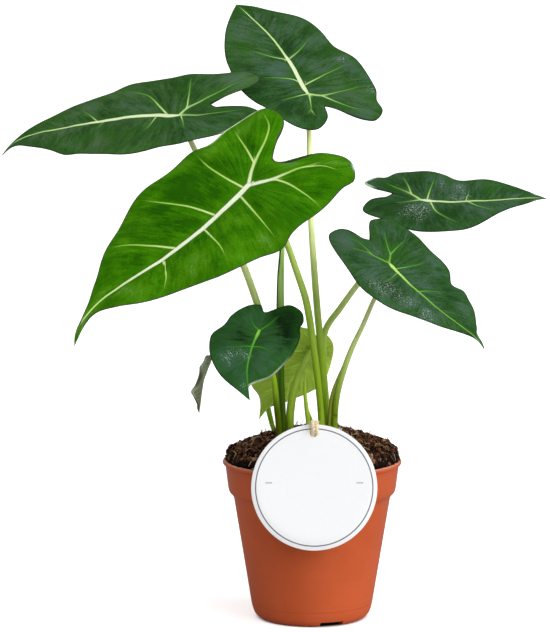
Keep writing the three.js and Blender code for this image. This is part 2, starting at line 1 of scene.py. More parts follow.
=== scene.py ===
"""A potted green velvet alocasia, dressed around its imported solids.

Every length is in millimetres and every mesh is written in metres, in the frame of the solids: +Z up,
the origin in the middle of the pot's underside, -Y towards the side where the tag hangs.
"""

import math
import random

import bmesh
import bpy
import numpy as np
from mathutils import Euler, Matrix, Vector, noise


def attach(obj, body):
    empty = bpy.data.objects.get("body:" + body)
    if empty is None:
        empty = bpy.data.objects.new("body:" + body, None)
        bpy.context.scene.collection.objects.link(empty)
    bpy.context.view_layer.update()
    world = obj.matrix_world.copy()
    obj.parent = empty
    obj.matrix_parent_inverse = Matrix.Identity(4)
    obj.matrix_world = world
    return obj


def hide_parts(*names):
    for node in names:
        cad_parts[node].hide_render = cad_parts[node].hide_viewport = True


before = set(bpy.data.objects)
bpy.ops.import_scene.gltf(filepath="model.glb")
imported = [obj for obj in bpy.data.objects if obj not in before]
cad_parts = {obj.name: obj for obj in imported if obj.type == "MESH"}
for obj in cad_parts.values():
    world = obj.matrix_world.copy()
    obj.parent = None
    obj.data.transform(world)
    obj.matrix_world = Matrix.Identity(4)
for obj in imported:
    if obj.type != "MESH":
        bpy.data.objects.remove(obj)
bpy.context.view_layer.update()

MM = 0.001
UP = np.array([0.0, 0.0, 1.0])

# The camera, where the photograph was taken from
CAMERA_PLACE = (-24.8, -2000.0, 456.0)
CAMERA_PITCH = 7.2
CAMERA_LENS = 172.5
SENSOR_WIDTH = 36
CAMERA_REACH = 200

# The floor's grey and the surround's brightness as they light the plant, and how much the floor glows for
# the camera. Under the pot the floor's grey is darkened to painted shade; around the pot's foot its grey
# and its glow come up between these distances, in metres
FLOOR_BOUNCE = 0.45
SURROUND = 0.35
FLOOR_GLOW = 0.5
PAINTED_SHADE_UNDER_POT = (0.031, 0.035)
GLOW_FROM = (0.034, 0.039)
FLOOR_REACH = 60000.0

# Each light's direction, how bright it is and how wide it looks, in degrees
LIGHTS = {
    "key": ((0.82, -0.5, 0.34), 0.7, 60),
    "front": ((0.42, -0.9, 0.1), 0.3, 60),
    "top": ((-0.05, -0.3, 0.95), 0.35, 80),
    "rim": ((-0.95, 0.25, 0.3), 0.1, 40),
}

# The pot
RIM_RADIUS = 60.0
POT_HEIGHT = 107.0
LIP_HEIGHT = 3.3
COLLAR_TOP_RADIUS = 58.1
COLLAR_FOOT_RADIUS = 56.1
COLLAR_FOOT_HEIGHT = 87.5
BODY_TOP_RADIUS = 52.4
BODY_TOP_HEIGHT = 81.5
FOOT_RADIUS = 33.8
FOOT_LINE = 10.5
PAD_RADIUS = 14.0
RECESS_RADIUS = 29.0
RECESS_HEIGHT = 4.0
FLOOR_HEIGHT = 6.0
WALL = 1.6
NOTCHES = 3
NOTCH_SIZE = (16.0, 24.0, 7.0)
NOTCH_TURN = 20.0
DRAINS = 6
DRAIN_RADIUS = 3.0
DRAIN_CIRCLE = 22.0
DRAIN_SIDES = 32
POT_SEGMENTS = 192

# The soil
EDGE_RISE = 3.0
MOUND_HEIGHT = 17.0
SOIL_LEAN = 1.5
LEFT_HEAP = 3.0
SOIL_RADIUS = 56.8
SOIL_RINGS = 48
SOIL_SPOKES = 160
LIP_EDGE = 59.4
CRUMBS = 2300
EDGE_CRUMBS = 700
FIBRES = 2000
SOIL_SEED = 11

# The tag and its twine
TAG_RADIUS = 41.0
TAG_THICKNESS = 0.8
TAG_TILT = 8.0
TAG_CENTRE = np.array([0.7, -61.65, 98.8])
TAG_HOLE_RADIUS = 2.6
TAG_HOLE = (-0.2, 35.4)
TAG_SIDES = 128
TAG_RING_RADIUS = 38.1
DASH_ACROSS = 29.6
DASH_UP = 3.0
TWINE_RADIUS = 1.45
TWINE_STEP = 0.35
TWIST_LENGTH = 4.2
PLY_SIDES = 10
FINE_HAIRS = 420
TWINE_SEED = 5
# Where the longest loose hairs of the twine end, as [across, up] on the card
STRAY_HAIRS = [(-9.5, 41.5), (-8, 38.0), (-6, 43.0), (-4.5, 36.5), (4, 42.5)]

# The stems stand in the soil down to this height, and each stalk leaves its blade straight for this far
STEM_FOOT = 99.0
STALK_REACH = 7.0

# The blades: how thick they are here and in the solids, the share of the length where the tip's own bend
# starts, how far the rows bow towards the notch, and the share of the edge where its waves fade out
BLADE_THICKNESS = 0.5
CAD_BLADE_THICKNESS = 0.8
TIP_START = 0.84
VEIN_BOW = 0.07
LEVEL_END = 0.08
ROWS_BETWEEN_STOPS = 24
COLUMNS = 24

# How far from a vein its distance is kept, and how far from it the blade takes to swell up
VEIN_REACH = 5.0
RELIEF_REACH = 5.0

# Each blade is drawn flat as [along, across] from its joint, arched, waved, turned by heading, rise and
# roll in degrees, and set at its joint, with the same numbers as its solid. rows gives where the rows
# of the blade's grid leave the spine and how far along each edge they end. rib lists shares of the
# midrib's length and its half width there. Each of the other veins is a half width at its root, one at its
# end, and its route. puff is the relief between veins. tones lists patches of painted light and shade,
# paler for a painted sheen or highlight and darker for painted shade, pale_edge the stretches of the edge
# that catch the light, painted as highlights, and dust the pale specks of dried drops, as [along, across,
# radius, amount]. cool is how far its bluish patches of painted sheen spread: to few places below 0, to
# most above 1. stem is how pale its stalk is at the top (over 1 stays pale further down), and how dark and
# how brown it is at the foot. stalk is its stalk's route as [x, y, z, radius]. Only the withered one's
# foot is thicker there than in its solid.
LEAVES = [
    dict(
        name="top", look="velvet", joint=(-2, 72, 347), turn=(124, 36, -17),
        arch=5, lobe_arch=16, tip_arch=10, lift=0.1, curl=0.16, wave=1.5, waves=4, phases=(0.3, 1.9),
        spine=[(-15, -5), (0, 0), (30, -3), (64, -4), (108, 1)],
        left=[(-28, 0), (-33, 9), (-30, 17), (-19, 28), (-7, 33), (8, 38), (27, 42), (43, 39), (67, 31),
            (95, 13)],
        right=[(-37, -25), (-40, -31), (-35, -39), (-25, -40), (-12, -46), (16, -46), (36, -40), (56, -38),
            (84, -25), (103, -4)],
        rows=[(0, 0.11, 0.19), (1, 0.37, 0.34), (12, 0.51, 0.48), (38, 0.74, 0.7), (70, 0.87, 0.86)],
        rib=[(0, 0.8), (0.05, 1.65), (0.33, 1.4), (0.4, 0.85), (1, 0.35)], puff=0.9, cool=0.6,
        veins=[(0.9, 0.3, [(0, 0), (-5, -7), (-7, -17), (-8, -42)]),
            (0.6, 0.3, [(-5, -7), (-20, -17), (-32, -30)]),
            (0.6, 0.3, [(-1, 0), (-9, 3), (-15, 6), (-19, 13)]), (0.4, 0.3, [(-15, 6), (-23, 6)]),
            (0.5, 0.3, [(0, 0), (0, 10), (0, 24)]), (0.65, 0.3, [(9, -2), (11, -14), (15, -40)]),
            (0.6, 0.3, [(37, -3), (41, -13), (50, -27)]),
            (0.65, 0.3, [(11, -1), (17, 3), (21, 11), (25, 25)]),
            (0.55, 0.3, [(37, -3), (42, 4), (56, 19)])],
        tones=[(84, 10, 12, 0.4), (59, 11, 12, 0.2), (36, 11, 10, 0.6), (60, -16, 12, 0.3),
            (26, -26, 12, 0.3), (-20, -30, 10, 1.2), (-36, -23, 8, 1.8), (5, -24, 8, 0.4),
            (-7, -27, 8, 0.6), (4, -11, 6, -0.6), (10, 28, 12, -0.9), (-5, 21, 8, -0.7), (-27, 7, 8, -0.8),
            (24, -6, 5, -0.6), (38, -13, 6, -0.5), (51, 30, 8, -0.5), (84, -7, 8, 0.4)],
        pale_edge=[], dust=[(20, -36, 4, 0.6), (-14, -43, 5, 0.5)], stem=(1.4, 0.1, 0.2),
        stalk=[(-1.6, 66, 320, 1.6), (-1.6, 52, 290, 1.7), (-0.5, 40, 262, 1.9), (1.5, 28, 231, 2.1),
            (3.5, 19, 205, 2.3), (5.6, 12, 182, 2.4), (8, 4.5, 146, 2.4), (9, 2.5, 127, 2.5)],
    ),
    dict(
        name="front", look="bright", joint=(-42, -44, 294), turn=(-158, -33, -31),
        arch=7, lobe_arch=14, tip_arch=200, lift=0.1, curl=0.16, wave=2.4, waves=5, phases=(0.5, 2.4),
        spine=[(-26, -8), (0, 0), (41, 6), (74, 5), (122, -3), (157, 1)],
        left=[(-25, -3), (-31, 5), (-52, 11), (-60, 24), (-58, 38), (-50, 49), (-41, 48), (-12, 55.5),
            (6, 58), (18, 61), (32, 54), (60, 49.5), (84, 33.5), (107, 23), (118, 13), (128, 2), (133, 0),
            (142, 1.1), (150, 2.3)],
        right=[(-38, -19), (-52, -31), (-50, -49), (-38, -54), (-22, -54), (-3, -47), (11, -54), (40, -52),
            (65, -48), (83, -40), (111, -20.5), (121, -15.4), (131, -8.3), (140, -2.3), (150, -0.4)],
        rows=[(0, 0.19, 0.2), (1, 0.37, 0.28), (6, 0.48, 0.41), (36, 0.62, 0.61), (70, 0.76, 0.77)],
        rib=[(0, 2.1), (0.45, 1.4), (0.6, 1.0), (0.8, 0.6), (0.87, 0.35), (0.91, 0.05), (1, 0.05)],
        puff=1.5, cool=-0.4,
        veins=[(1.8, 0.3, [(0, 0), (-6, 4), (-14, 9), (-30, 14), (-37, 17), (-51, 21)]),
            (0.6, 0.3, [(-34, 15.5), (-44, 25), (-48, 37)]),
            (0.8, 0.25, [(-14, 9), (-18, 20), (-21, 40), (-21, 54)]),
            (1.3, 0.3, [(0, 0), (-10, -9), (-24, -18), (-33, -24), (-41, -32), (-47, -50)]),
            (0.75, 0.3, [(-14, -12), (-18, -26), (-24, -51)]),
            (0.85, 0.3, [(3, 1), (6, -12), (8.5, -33), (8, -51)]),
            (0.85, 0.3, [(30, 4), (38, -15), (52, -38), (58, -48)]),
            (0.85, 0.3, [(64, 5), (71, -5), (87, -25), (97, -31)]),
            (0.8, 0.25, [(9, 2), (11, 18), (14, 41), (16, 54)]),
            (0.7, 0.25, [(42, 6), (43, 19), (44, 29), (48, 42)]),
            (0.65, 0.25, [(75, 5), (79, 14), (83, 20), (91, 27)])],
        tones=[(30, -18, 14, -1.1), (38, -34, 12, -0.8), (56, -11, 12, -1.1), (70, -19, 12, -0.4),
            (63, -27, 8, 0.4), (2, -34, 10, -0.4), (8, -15, 9, -0.7), (-34, -21, 9, -0.3),
            (-34, 12, 6, 0.7), (14, -9, 9, -0.5), (89, -8, 9, -0.4), (-21, -21, 6, -0.3), (87, -27, 6, 0.7),
            (99, -19, 7, 0.6), (70, -46, 9, 0.7), (56, -38, 6, 0.5), (110, -9, 7, 0.4), (96, 19, 14, 1.0),
            (110, 12, 10, 1.0), (124, -5, 8, 1.2), (82, 34, 8, 0.4), (61, 27, 12, 0.9), (68, 35, 9, 0.7),
            (28, 42, 12, 1.0), (19, 49, 8, 0.8), (24, 24, 11, 0.5), (12, 30, 8, 0.2), (-10, 33, 9, 0.1),
            (-2, 46, 9, -0.4), (-51, 22, 9, 1.4), (-55, 33, 7, 1.0), (-27, 3, 8, 1.2), (-32, 4, 6, 1.0),
            (-44, -45, 8, 1.0), (-28, -45, 8, 1.2), (0, -43, 8, 0.9), (23, -52, 8, 1.0), (-16, -42, 5, 0.8),
            (-6, -44, 6, 0.8), (138, 0, 8, 0.8), (150, 1, 12, 1.6)],
        pale_edge=[(-57, 39, 3, 0.8), (-40, -54, 6, 0.8), (-29, -55, 6, 0.9), (-18, -53, 6, 0.8),
            (-8, -49, 5, 0.6)],
        dust=[(-57, 39, 3, 0.5)], stem=(0.35, 0.0, 0.3),
        stalk=[(-33, -36, 281, 1.5), (-25, -30, 269, 1.8), (-17.5, -24, 255, 2), (-11, -17, 236, 2),
            (-4.4, -11, 215, 2.2), (1, -6, 181, 2.3), (5, -3.2, 147, 2.3), (6.2, -3, 128, 2.3)],
    ),
    dict(
        name="left", look="velvet", joint=(-89, 30, 335), turn=(176, -6, -30),
        arch=9, lobe_arch=12, tip_arch=150, lift=0.08, curl=0.14, wave=1.2, waves=5, phases=(1.2, 0.2),
        spine=[(-21, -10), (0, 0), (20, -4), (68, -6), (111, -6), (126, 1)],
        left=[(-26, -5), (-46, -6), (-55, 3), (-53, 11), (-28, 26), (-3, 37), (13, 36), (37, 41), (66, 29),
            (77, 28.3), (87, 20.8), (103, 6.5), (114, 0.5)],
        right=[(-38, -22), (-54, -41), (-51, -47), (-30, -49), (-9, -50), (6, -45), (33, -48), (49, -36),
            (74, -32), (90, -20), (112, -11)],
        rows=[(0, 0.18, 0.18), (1, 0.42, 0.4), (12, 0.57, 0.63), (54, 0.7, 0.75), (82, 0.81, 0.85)],
        rib=[(0, 1.0), (0.04, 2.0), (0.1, 1.9), (0.45, 1.4), (0.52, 0.95), (1, 0.35)], puff=1.0, cool=0.1,
        veins=[(0.8, 0.3, [(8, -2), (14, -13), (22, -27), (33, -34), (45, -37)]),
            (0.5, 0.3, [(56, -6), (62, -15), (68, -23)]),
            (1.0, 0.35, [(0, 0), (-5, -7), (-14, -13), (-27, -24), (-45, -40)]),
            (0.6, 0.3, [(-5, -7), (-6, -21), (-7, -48)]), (0.55, 0.3, [(15, -3), (19, 8), (24, 19)]),
            (0.4, 0.3, [(51, -6), (56, 3)]), (0.5, 0.3, [(-1, 0), (-3, 10), (-4, 20)]),
            (0.7, 0.3, [(0, 0), (-14, 3), (-31, 2), (-46, -2)])],
        tones=[(-15, 15, 6, 0.6), (-4, 23, 7, -0.7), (-35, -32, 7, 0.7), (-30, 10, 7, -0.6),
            (20, -38, 9, -0.4), (1, -33, 6, -0.7), (-8, -22, 9, -0.9), (66, -23, 10, 1.1),
            (60, 16, 10, 0.6), (35, 22, 9, 0.4), (-46, 6, 7, 0.3), (-44, -40, 9, 1.8), (-30, -38, 7, 0.8),
            (90, -8, 10, 0.5), (41, -26, 8, 0.6), (100, -2, 10, 0.3), (45, 33, 7, -0.5), (80, 23, 7, -0.3)],
        pale_edge=[(-48, 10, 6, 1.2), (-36, 20, 7, 1.2)], dust=[], stem=(1.6, 0.8, 0.1),
        stalk=[(-86, 33.5, 326, 1.5), (-81.3, 33, 317, 1.7), (-75.5, 31, 305, 1.8), (-65.6, 27, 282, 2),
            (-54.8, 21, 255, 2.1), (-45.8, 16, 235, 2.2), (-36.6, 10, 210, 2.3), (-28, 6, 183, 2.4),
            (-24.2, 3.5, 156, 2.3), (-22.4, 2, 136, 2.2), (-22.2, 2, 126, 2.2)],
    ),
    dict(
        name="right_upper", look="velvet", joint=(74, 42, 277), turn=(-3, 5, 34),
        arch=10, lobe_arch=12, tip_arch=100, lift=0.08, curl=0.14, wave=1.2, waves=4, phases=(2.2, 0.9),
        spine=[(-19, 10), (0, 0), (19, -4), (50, -4), (85, 0)],
        left=[(-29, 16), (-38, 25), (-30, 27), (-23, 26), (-14, 32), (17, 24), (26, 19), (45, 16), (64, 11),
            (77, 2)],
        right=[(-24, 6), (-35, 5), (-40, -2), (-36, -10), (-22, -22), (7, -37), (23, -36), (40, -28),
            (52, -20), (65, -10), (77, -4)],
        rows=[(0, 0.15, 0.15), (1, 0.33, 0.35), (5, 0.49, 0.54), (27, 0.66, 0.69), (48, 0.81, 0.84)],
        rib=[(0, 0.8), (0.05, 1.4), (0.12, 0.95), (0.5, 0.65), (1, 0.25)], puff=0.7, cool=1.1,
        veins=[(0.8, 0.3, [(0, 0), (-7, 7), (-17, 15), (-26, 22)]),
            (0.5, 0.3, [(-6, 6), (-8, 15), (-12, 29)]), (0.6, 0.3, [(4, -1), (6, 7), (11, 23)]),
            (0.4, 0.3, [(30, -4), (33, 5)]), (0.6, 0.3, [(6, -2), (9, -13), (13, -19), (27, -31)]),
            (0.4, 0.3, [(0, 0), (-9, -1), (-20, -1)]), (0.4, 0.3, [(30, -4), (40, -12), (52, -18)])],
        tones=[(-17, 25, 7, 0.5), (14, 19, 7, 0.5), (27, 8, 7, 0.6), (22, -13, 8, -0.6), (40, -13, 7, 0.1),
            (60, -8, 7, 0.8), (-18, -9, 7, -0.7), (-30, -4, 7, -0.8), (-3, 16, 6, -0.6), (-5, -21, 7, -0.6),
            (60, 5, 6, -0.7), (-35, 25, 4, 2.5), (80, 0, 5, 2.0), (8, -27, 8, -0.8), (20, -19, 8, -1.6),
            (33, -22, 7, -0.5)],
        pale_edge=[(-35, 25, 5, 1.0), (81, 0, 5, 0.7), (-33, 22, 3, 1.0)],
        dust=[(-1, -11, 6, 1.0), (3, -9, 4, 0.9), (-6, -9, 4, 0.8), (-1, -20, 4, 0.7), (-12, -14, 4, 0.6),
            (26, 9, 4, 0.8), (24, -1, 4, 0.7), (31, 0, 3, 0.8), (14, 14, 4, 0.5), (6, -1, 4, 0.6)],
        stem=(1.1, 0.1, 0.1),
        stalk=[(70, 45, 267, 1.4), (60, 38, 254, 1.5), (45, 31, 238, 1.6), (30.3, 25, 221, 1.8),
            (19, 21, 206, 1.9), (9, 19.5, 191, 2), (8, 16.5, 168, 2), (10, 11, 142, 2), (11, 8.4, 127, 2)],
    ),
    dict(
        name="low_front", look="deep", joint=(-35, -44, 199), turn=(-100, -44, 3),
        arch=12, lobe_arch=14, tip_arch=250, lift=0.1, curl=0.2, wave=0.9, waves=3, phases=(0.7, 2.9),
        spine=[(-16, 3), (0, 0), (13, -3), (30, -4), (54, 0)],
        left=[(-18, 10), (-21, 18), (-16, 26), (-6, 29), (0, 27.4), (7, 28.2), (28, 20.5), (38, 12.5),
            (41.5, 2.5), (44.5, -1.3)],
        right=[(-16, 1), (-22, -2), (-22, -9), (-12, -19.8), (-5, -23.7), (1, -30.6), (5, -32), (20, -30),
            (32, -24), (43, -14)],
        rows=[(0, 0.2, 0.13), (1, 0.35, 0.32), (13, 0.66, 0.64), (22, 0.83, 0.78), (31, 0.91, 0.9)],
        rib=[(0, 1.1), (0.05, 1.2), (0.14, 0.8), (0.5, 0.6), (1, 0.3)], puff=0.8, cool=0.6,
        veins=[(0.7, 0.3, [(0, 0), (-4, 5), (-8, 9), (-13, 13)]), (0.5, 0.3, [(0, 0), (-6, -5), (-17, -8)]),
            (0.4, 0.3, [(13, -3), (13, -9), (16, -20)]), (0.4, 0.3, [(13, -3), (14, 4), (22, 15)])],
        tones=[(0, -2, 6, 1.0), (-8, 20, 9, -2.0), (-16, 12, 7, -1.3), (0, 24, 7, -1.7), (8, -12, 6, -0.5),
            (12, 22, 7, -0.4), (28, 4, 6, 0.6), (16, 9, 6, 0.9), (33, 10, 6, 0.7), (-4, -20, 7, 0.4),
            (-12, -8, 6, 0.6), (28, -19, 7, 0.6), (22, -22, 6, 0.5)],
        pale_edge=[(42, 0, 4, 0.6), (40, 7, 5, 0.5), (36, 15, 5, 0.4), (32, 18, 5, 0.35), (26, 22, 4, 0.2)],
        dust=[(22, -20, 3, 0.9), (19, -16, 3.5, 0.9), (18, -10, 3, 0.9), (20, -6, 3, 0.8),
            (26, -17, 3, 0.5), (44, -5, 2, 0.6)],
        stem=(0.0, 1.3, 1.3),
        stalk=[(-31, -33, 187, 1.4), (-26, -24, 166, 1.7), (-23.8, -16, 145, 2), (-22.6, -11.5, 132, 2.1),
            (-22.3, -9.5, 124, 2.1)],
    ),
    dict(
        name="right", look="forest", joint=(50, -22, 241), turn=(-24, -33, 22),
        arch=10, lobe_arch=14, tip_arch=250, lift=0.1, curl=0.16, wave=1.4, waves=4, phases=(1.7, 0.4),
        spine=[(-22, 8), (0, 0), (21, -4), (48, -5), (86, 0)],
        left=[(-30, 19), (-33, 27), (-24, 36), (-14, 38), (-2, 40), (14, 33), (30, 31), (39, 22),
            (47, 22.7), (54, 18.8), (63, 15), (71.7, 6.2), (75.5, 1)],
        right=[(-26, 4), (-40, 0), (-43, -9), (-38, -17), (-27, -26), (-10, -32), (9, -40), (22, -39),
            (38, -28), (57, -20), (72, -4)],
        rows=[(0, 0.14, 0.18), (1, 0.34, 0.39), (8, 0.56, 0.54), (29, 0.77, 0.69), (49, 0.88, 0.83)],
        rib=[(0, 0.7), (0.04, 1.6), (0.12, 1.1), (0.3, 0.75), (0.6, 0.45), (1, 0.25)], puff=0.9, cool=0.95,
        veins=[(0.65, 0.3, [(0, 0), (-10, -4), (-16, -6), (-30, -17)]),
            (0.35, 0.25, [(-10, -4), (-25, -2), (-35, -5)]),
            (0.65, 0.3, [(0, 0), (-4, 7), (-9, 11), (-23, 25)]),
            (0.45, 0.25, [(-4, 7), (-5, 17), (-6, 30)]), (0.5, 0.3, [(6, -1), (12, 11), (17, 22)]),
            (0.4, 0.25, [(28, -5), (33, 2), (42, 10)]), (0.35, 0.25, [(9, -2), (10, -14), (9, -24)])],
        tones=[(-34, -8, 10, 1.6), (-25, -14, 8, 1.4), (18, 12, 8, 0.8), (-7, 21, 8, -0.3),
            (-1, -22, 7, 0.6), (39, 12, 6, -1.4), (48, 11, 6, -0.8), (30, 7, 7, -0.4), (32, -21, 7, 0.8),
            (48, -19, 7, 0.6), (58, 10, 5, 0.5), (60, -11, 6, 0.5), (14, -26, 6, -0.4), (-16, 14, 6, -0.5),
            (-16, -16, 7, -0.4), (12, 20, 7, -0.4), (83, 0, 5, 2.2)],
        pale_edge=[(83, 0, 5, 0.8)],
        dust=[(5, -29, 4, 0.6), (11, -28, 4, 0.8), (12, -20, 4, 0.8), (15, -31, 3, 0.7), (19, -21, 4, 0.8),
            (24, -24, 4, 0.8), (31, -19, 4, 0.7), (43, -18, 4, 0.7), (47, -21, 4, 0.8), (-12, 1, 3, 0.4)],
        stem=(1.1, 0.2, 0.6),
        stalk=[(46.6, -15, 228, 1.3), (40.7, -12, 216, 1.4), (33.2, -9, 198, 1.5), (25.6, -6, 181, 1.7),
            (19.2, -4, 162, 2), (15.9, -3, 147, 2.2), (14.8, -2, 130, 2.3)],
    ),
    dict(
        name="hanging", look="pale", joint=(-1, 26, 178.6), turn=(176, -52, 56),
        arch=10, lobe_arch=10, tip_arch=150, lift=0.1, curl=0.2, wave=0.8, waves=3, phases=(0.2, 1.4),
        spine=[(-8, 0), (0, 0), (10, -2), (28, -4), (60, -1)],
        left=[(-10, 5), (-9, 13), (-5, 22), (6, 26), (23, 26), (32, 25), (43, 19), (47, 9), (53, 3)],
        right=[(-12, -2), (-13, -7), (-10, -14), (3, -24), (15, -27), (29, -22), (42, -11), (50, -3)],
        rows=[(0, 0.17, 0.11), (1, 0.36, 0.35), (11, 0.57, 0.57), (22, 0.76, 0.74), (35, 0.9, 0.89)],
        rib=[(0, 1.0), (1, 0.3)], puff=0.8, cool=0.0,
        veins=[(0.7, 0.3, [(0, 0), (-5, 7), (-6, 16)]), (0.7, 0.3, [(0, 0), (-6, -6), (-8, -13)]),
            (0.6, 0.3, [(2, 0), (9, 9), (18, 22)]), (0.6, 0.3, [(2, 0), (9, -11), (16, -24)]),
            (0.5, 0.3, [(13, -2), (23, 7), (35, 19)]), (0.5, 0.3, [(13, -2), (23, -12), (32, -19)]),
            (0.4, 0.25, [(28, -4), (37, 3), (45, 8)]), (0.4, 0.25, [(28, -4), (37, -9), (43, -9)])],
        tones=[(20, 20, 9, 0.6), (10, -18, 9, -0.4), (44, -4, 4, -1.2), (50, 2, 14, -0.8)],
        pale_edge=[(44, 12, 6, 0.6), (40, -12, 6, 0.6)], dust=[], stem=(0.15, 0.2, 0.6),
        stalk=[(-0.5, 18, 176.5, 1.8), (-5, 14, 170, 1.9), (-9, 10.5, 162, 2), (-12.7, 6, 150, 2.3),
            (-14.6, 2.4, 138, 2.6), (-15, 1, 126, 2.8)],
    ),
    dict(
        name="withered", look="dry", joint=(-68, 10, 171), turn=(190, -74, 30),
        arch=10, lobe_arch=10, tip_arch=60, lift=0.9, curl=0.2, wave=0.5, waves=2, phases=(0.2, 1.4),
        spine=[(-4, 0), (0, 0), (6, 2.5), (12, 4.8), (18, 3.2), (26, 0.5), (35.5, -3)],
        left=[(-4, 2), (2, 4), (8, 5), (13, 6.2), (18, 6.2), (22, 7), (25, 4.8), (30, 1)],
        right=[(-4, -2), (3, -4), (8, 0.5), (12.5, 3.6), (17, 0.5), (21, -1.5), (28, -4), (33, -4.5)],
        rows=[(0, 0.1, 0.1), (1, 0.25, 0.25), (8, 0.4, 0.4), (16, 0.6, 0.6), (26, 0.8, 0.8)],
        rib=[(0, 0.5), (1, 0.25)], puff=0.4, cool=0.0,
        veins=[(0.3, 0.2, [(2, 2), (8, 3.6), (14, 5), (20, 5)]),
            (0.3, 0.2, [(16, 2), (21, 0), (28, -2.5)])],
        tones=[(6, 2, 4, 0.8), (14, 4, 4, -0.8), (20, 5, 3, 0.9), (26, 0, 5, -0.9)],
        pale_edge=[(2, 3, 5, 0.6), (22, 6, 4, 0.6)], dust=[], hangs=True, stem=(0.6, 0.2, 0.3),
        stalk=[(-60, 21, 187, 0.9), (-50, 36, 182, 1), (-40, 45, 165, 1.1), (-31.8, 40, 143, 1.9),
            (-27, 24, 127, 1.7), (-25, 14, 121, 1.4)],
    ),
]

# The rolled leaf and the young shoot, as [x, y, z, radius]
SPEAR = [
    (-19, -9, 279, 0.4), (-19.3, -8, 267, 1.1), (-20, -7, 250, 1.7), (-21, -6, 231, 2.3),
    (-21.2, -5, 211, 2.6), (-21, -4, 188, 2.3), (-20.6, -3.2, 161, 2.1), (-19.6, -2.8, 140, 2.1),
    (-19.6, -2.8, 126, 2.1), (-19.6, -2.8, 112, 2.1), (-19.6, -2.8, STEM_FOOT, 2.1),
]
SHOOT = [
    (-5, -4.5, 166, 0.4), (-4.8, -4.3, 151, 1.1), (-4, -4, 143, 1.3), (-2.2, -4, 127, 1.6),
    (-2, -4, 113, 1.7), (-2, -4, STEM_FOOT, 1.7),
]

# The sheaths of two stems: how far down the stem each starts, how wide it is and the way it stands out
SHEATHS = {"right": (0.5, 2.4, (-1.0, -0.2, 0.0)), "shoot": (0.35, 2.4, (1.0, -0.2, 0.0))}


# Curves

def smooth_curve(points, closed=False, steps=24):
    """Points of the smooth curve through the given ones, and each one's place in the list."""
    points = np.asarray(points, float)
    count = len(points)
    samples = []
    places = []
    for i in range(count if closed else count - 1):
        a = points[i]
        b = points[(i + 1) % count]
        before = points[i - 1] if closed or i > 0 else 2 * a - b
        after = points[(i + 2) % count] if closed or i + 2 < count else 2 * b - a
        d0, d1, d2 = (max(np.linalg.norm(q - p), 1e-6) ** 0.5 for p, q in ((before, a), (a, b), (b, after)))
        start = ((a - before) / d0 - (b - before) / (d0 + d1) + (b - a) / d1) * d1
        end = ((b - a) / d1 - (after - a) / (d1 + d2) + (after - b) / d2) * d1
        t = np.arange(steps)[:, None] / steps
        samples.append(a + start * t + (3 * (b - a) - 2 * start - end) * t**2
                       + (2 * (a - b) + start + end) * t**3)
        places.append(i + t[:, 0])
    if not closed:
        samples.append(points[-1:])
        places.append(np.array([count - 1.0]))
    return np.concatenate(samples), np.concatenate(places)


def along_shares(line):
    """How far along its length each point of a line is, from 0 to 1."""
    lengths = np.concatenate([[0], np.cumsum(np.linalg.norm(np.diff(line, axis=0), axis=1))])
    return lengths / lengths[-1]


def point_at(line, shares, share):
    """Points of a line at these shares of its length."""
    return np.stack([np.interp(share, shares, line[:, k]) for k in range(line.shape[1])], axis=-1)


def smoothstep(low, high, value):
    t = np.clip((value - low) / (high - low), 0, 1)
    return t * t * (3 - 2 * t)


def unit(vectors):
    return vectors / np.linalg.norm(vectors, axis=-1, keepdims=True)


def circle(sides):
    """Angles all round a circle."""
    return 2 * np.pi * np.arange(sides) / sides


def carried_frames(line):
    """Two directions across a line that turn with it as little as they can."""
    tangents = unit(np.gradient(line, axis=0))
    normals = [unit(np.cross(tangents[0], [0.0, 1.0, 0.0]))]
    for tangent in tangents[1:]:
        normals.append(unit(normals[-1] - tangent * np.dot(normals[-1], tangent)))
    normals = np.array(normals)
    return normals, np.cross(tangents, normals)


def rings_round(line, reach, turn):
    """A ring of points round each point of a line, at these angles and this reach."""
    normals, binormals = carried_frames(line)
    turn = turn[..., None]
    return line[:, None] + reach * (np.cos(turn) * normals[:, None] + np.sin(turn) * binormals[:, None])


def turned_rings(profile, turn):
    """A level ring of points for each [radius, height] of a profile."""
    return np.array([np.stack([r * np.cos(turn), r * np.sin(turn), h + 0 * turn], -1) for r, h in profile])


# Meshes

def link(name, data):
    piece = bpy.data.objects.new(name, data)
    bpy.context.scene.collection.objects.link(piece)
    return piece


def new_mesh(name, points, faces):
    """A mesh of points in millimetres."""
    mesh = bpy.data.meshes.new(name)
    mesh.from_pydata((np.asarray(points) * MM).tolist(), [], [list(f) for f in faces])
    return mesh


def new_object(name, points, faces, material):
    """A smooth piece of points in millimetres."""
    mesh = new_mesh(name, np.reshape(points, (-1, 3)), faces)
    mesh.validate()
    mesh.materials.append(material)
    mesh.shade_smooth()
    return link(name, mesh)


def dress(piece, node):
    """The piece rides with the plant and stands for this solid, which is hidden."""
    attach(piece, "root")
    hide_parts(node)


def set_attribute(piece, name, values):
    """Stores a number, or three, for each point of a piece."""
    values = np.asarray(values, np.float32)
    kind, field = ("FLOAT", "value") if values.ndim == 1 else ("FLOAT_VECTOR", "vector")
    piece.data.attributes.new(name, kind, "POINT").data.foreach_set(field, values.ravel())


def mark_sharp(piece, degrees):
    """Edges that bend more than this stay sharp."""
    shape = bmesh.new()
    shape.from_mesh(piece.data)
    for edge in shape.edges:
        edge.smooth = len(edge.link_faces) != 2 or edge.calc_face_angle() < math.radians(degrees)
    shape.to_mesh(piece.data)
    shape.free()


def grid_faces(index, flip=False):
    """Quads, or triangles where points are shared, of a grid of point numbers."""
    a, b = index[:-1, :-1], index[1:, :-1]
    c, d = index[1:, 1:], index[:-1, 1:]
    quads = np.stack([a, b, c, d] if not flip else [a, d, c, b], axis=-1).reshape(-1, 4)
    corners = [[p for i, p in enumerate(quad) if p != quad[i - 1]] for quad in quads.tolist()]
    return [face for face in corners if len(face) > 2]


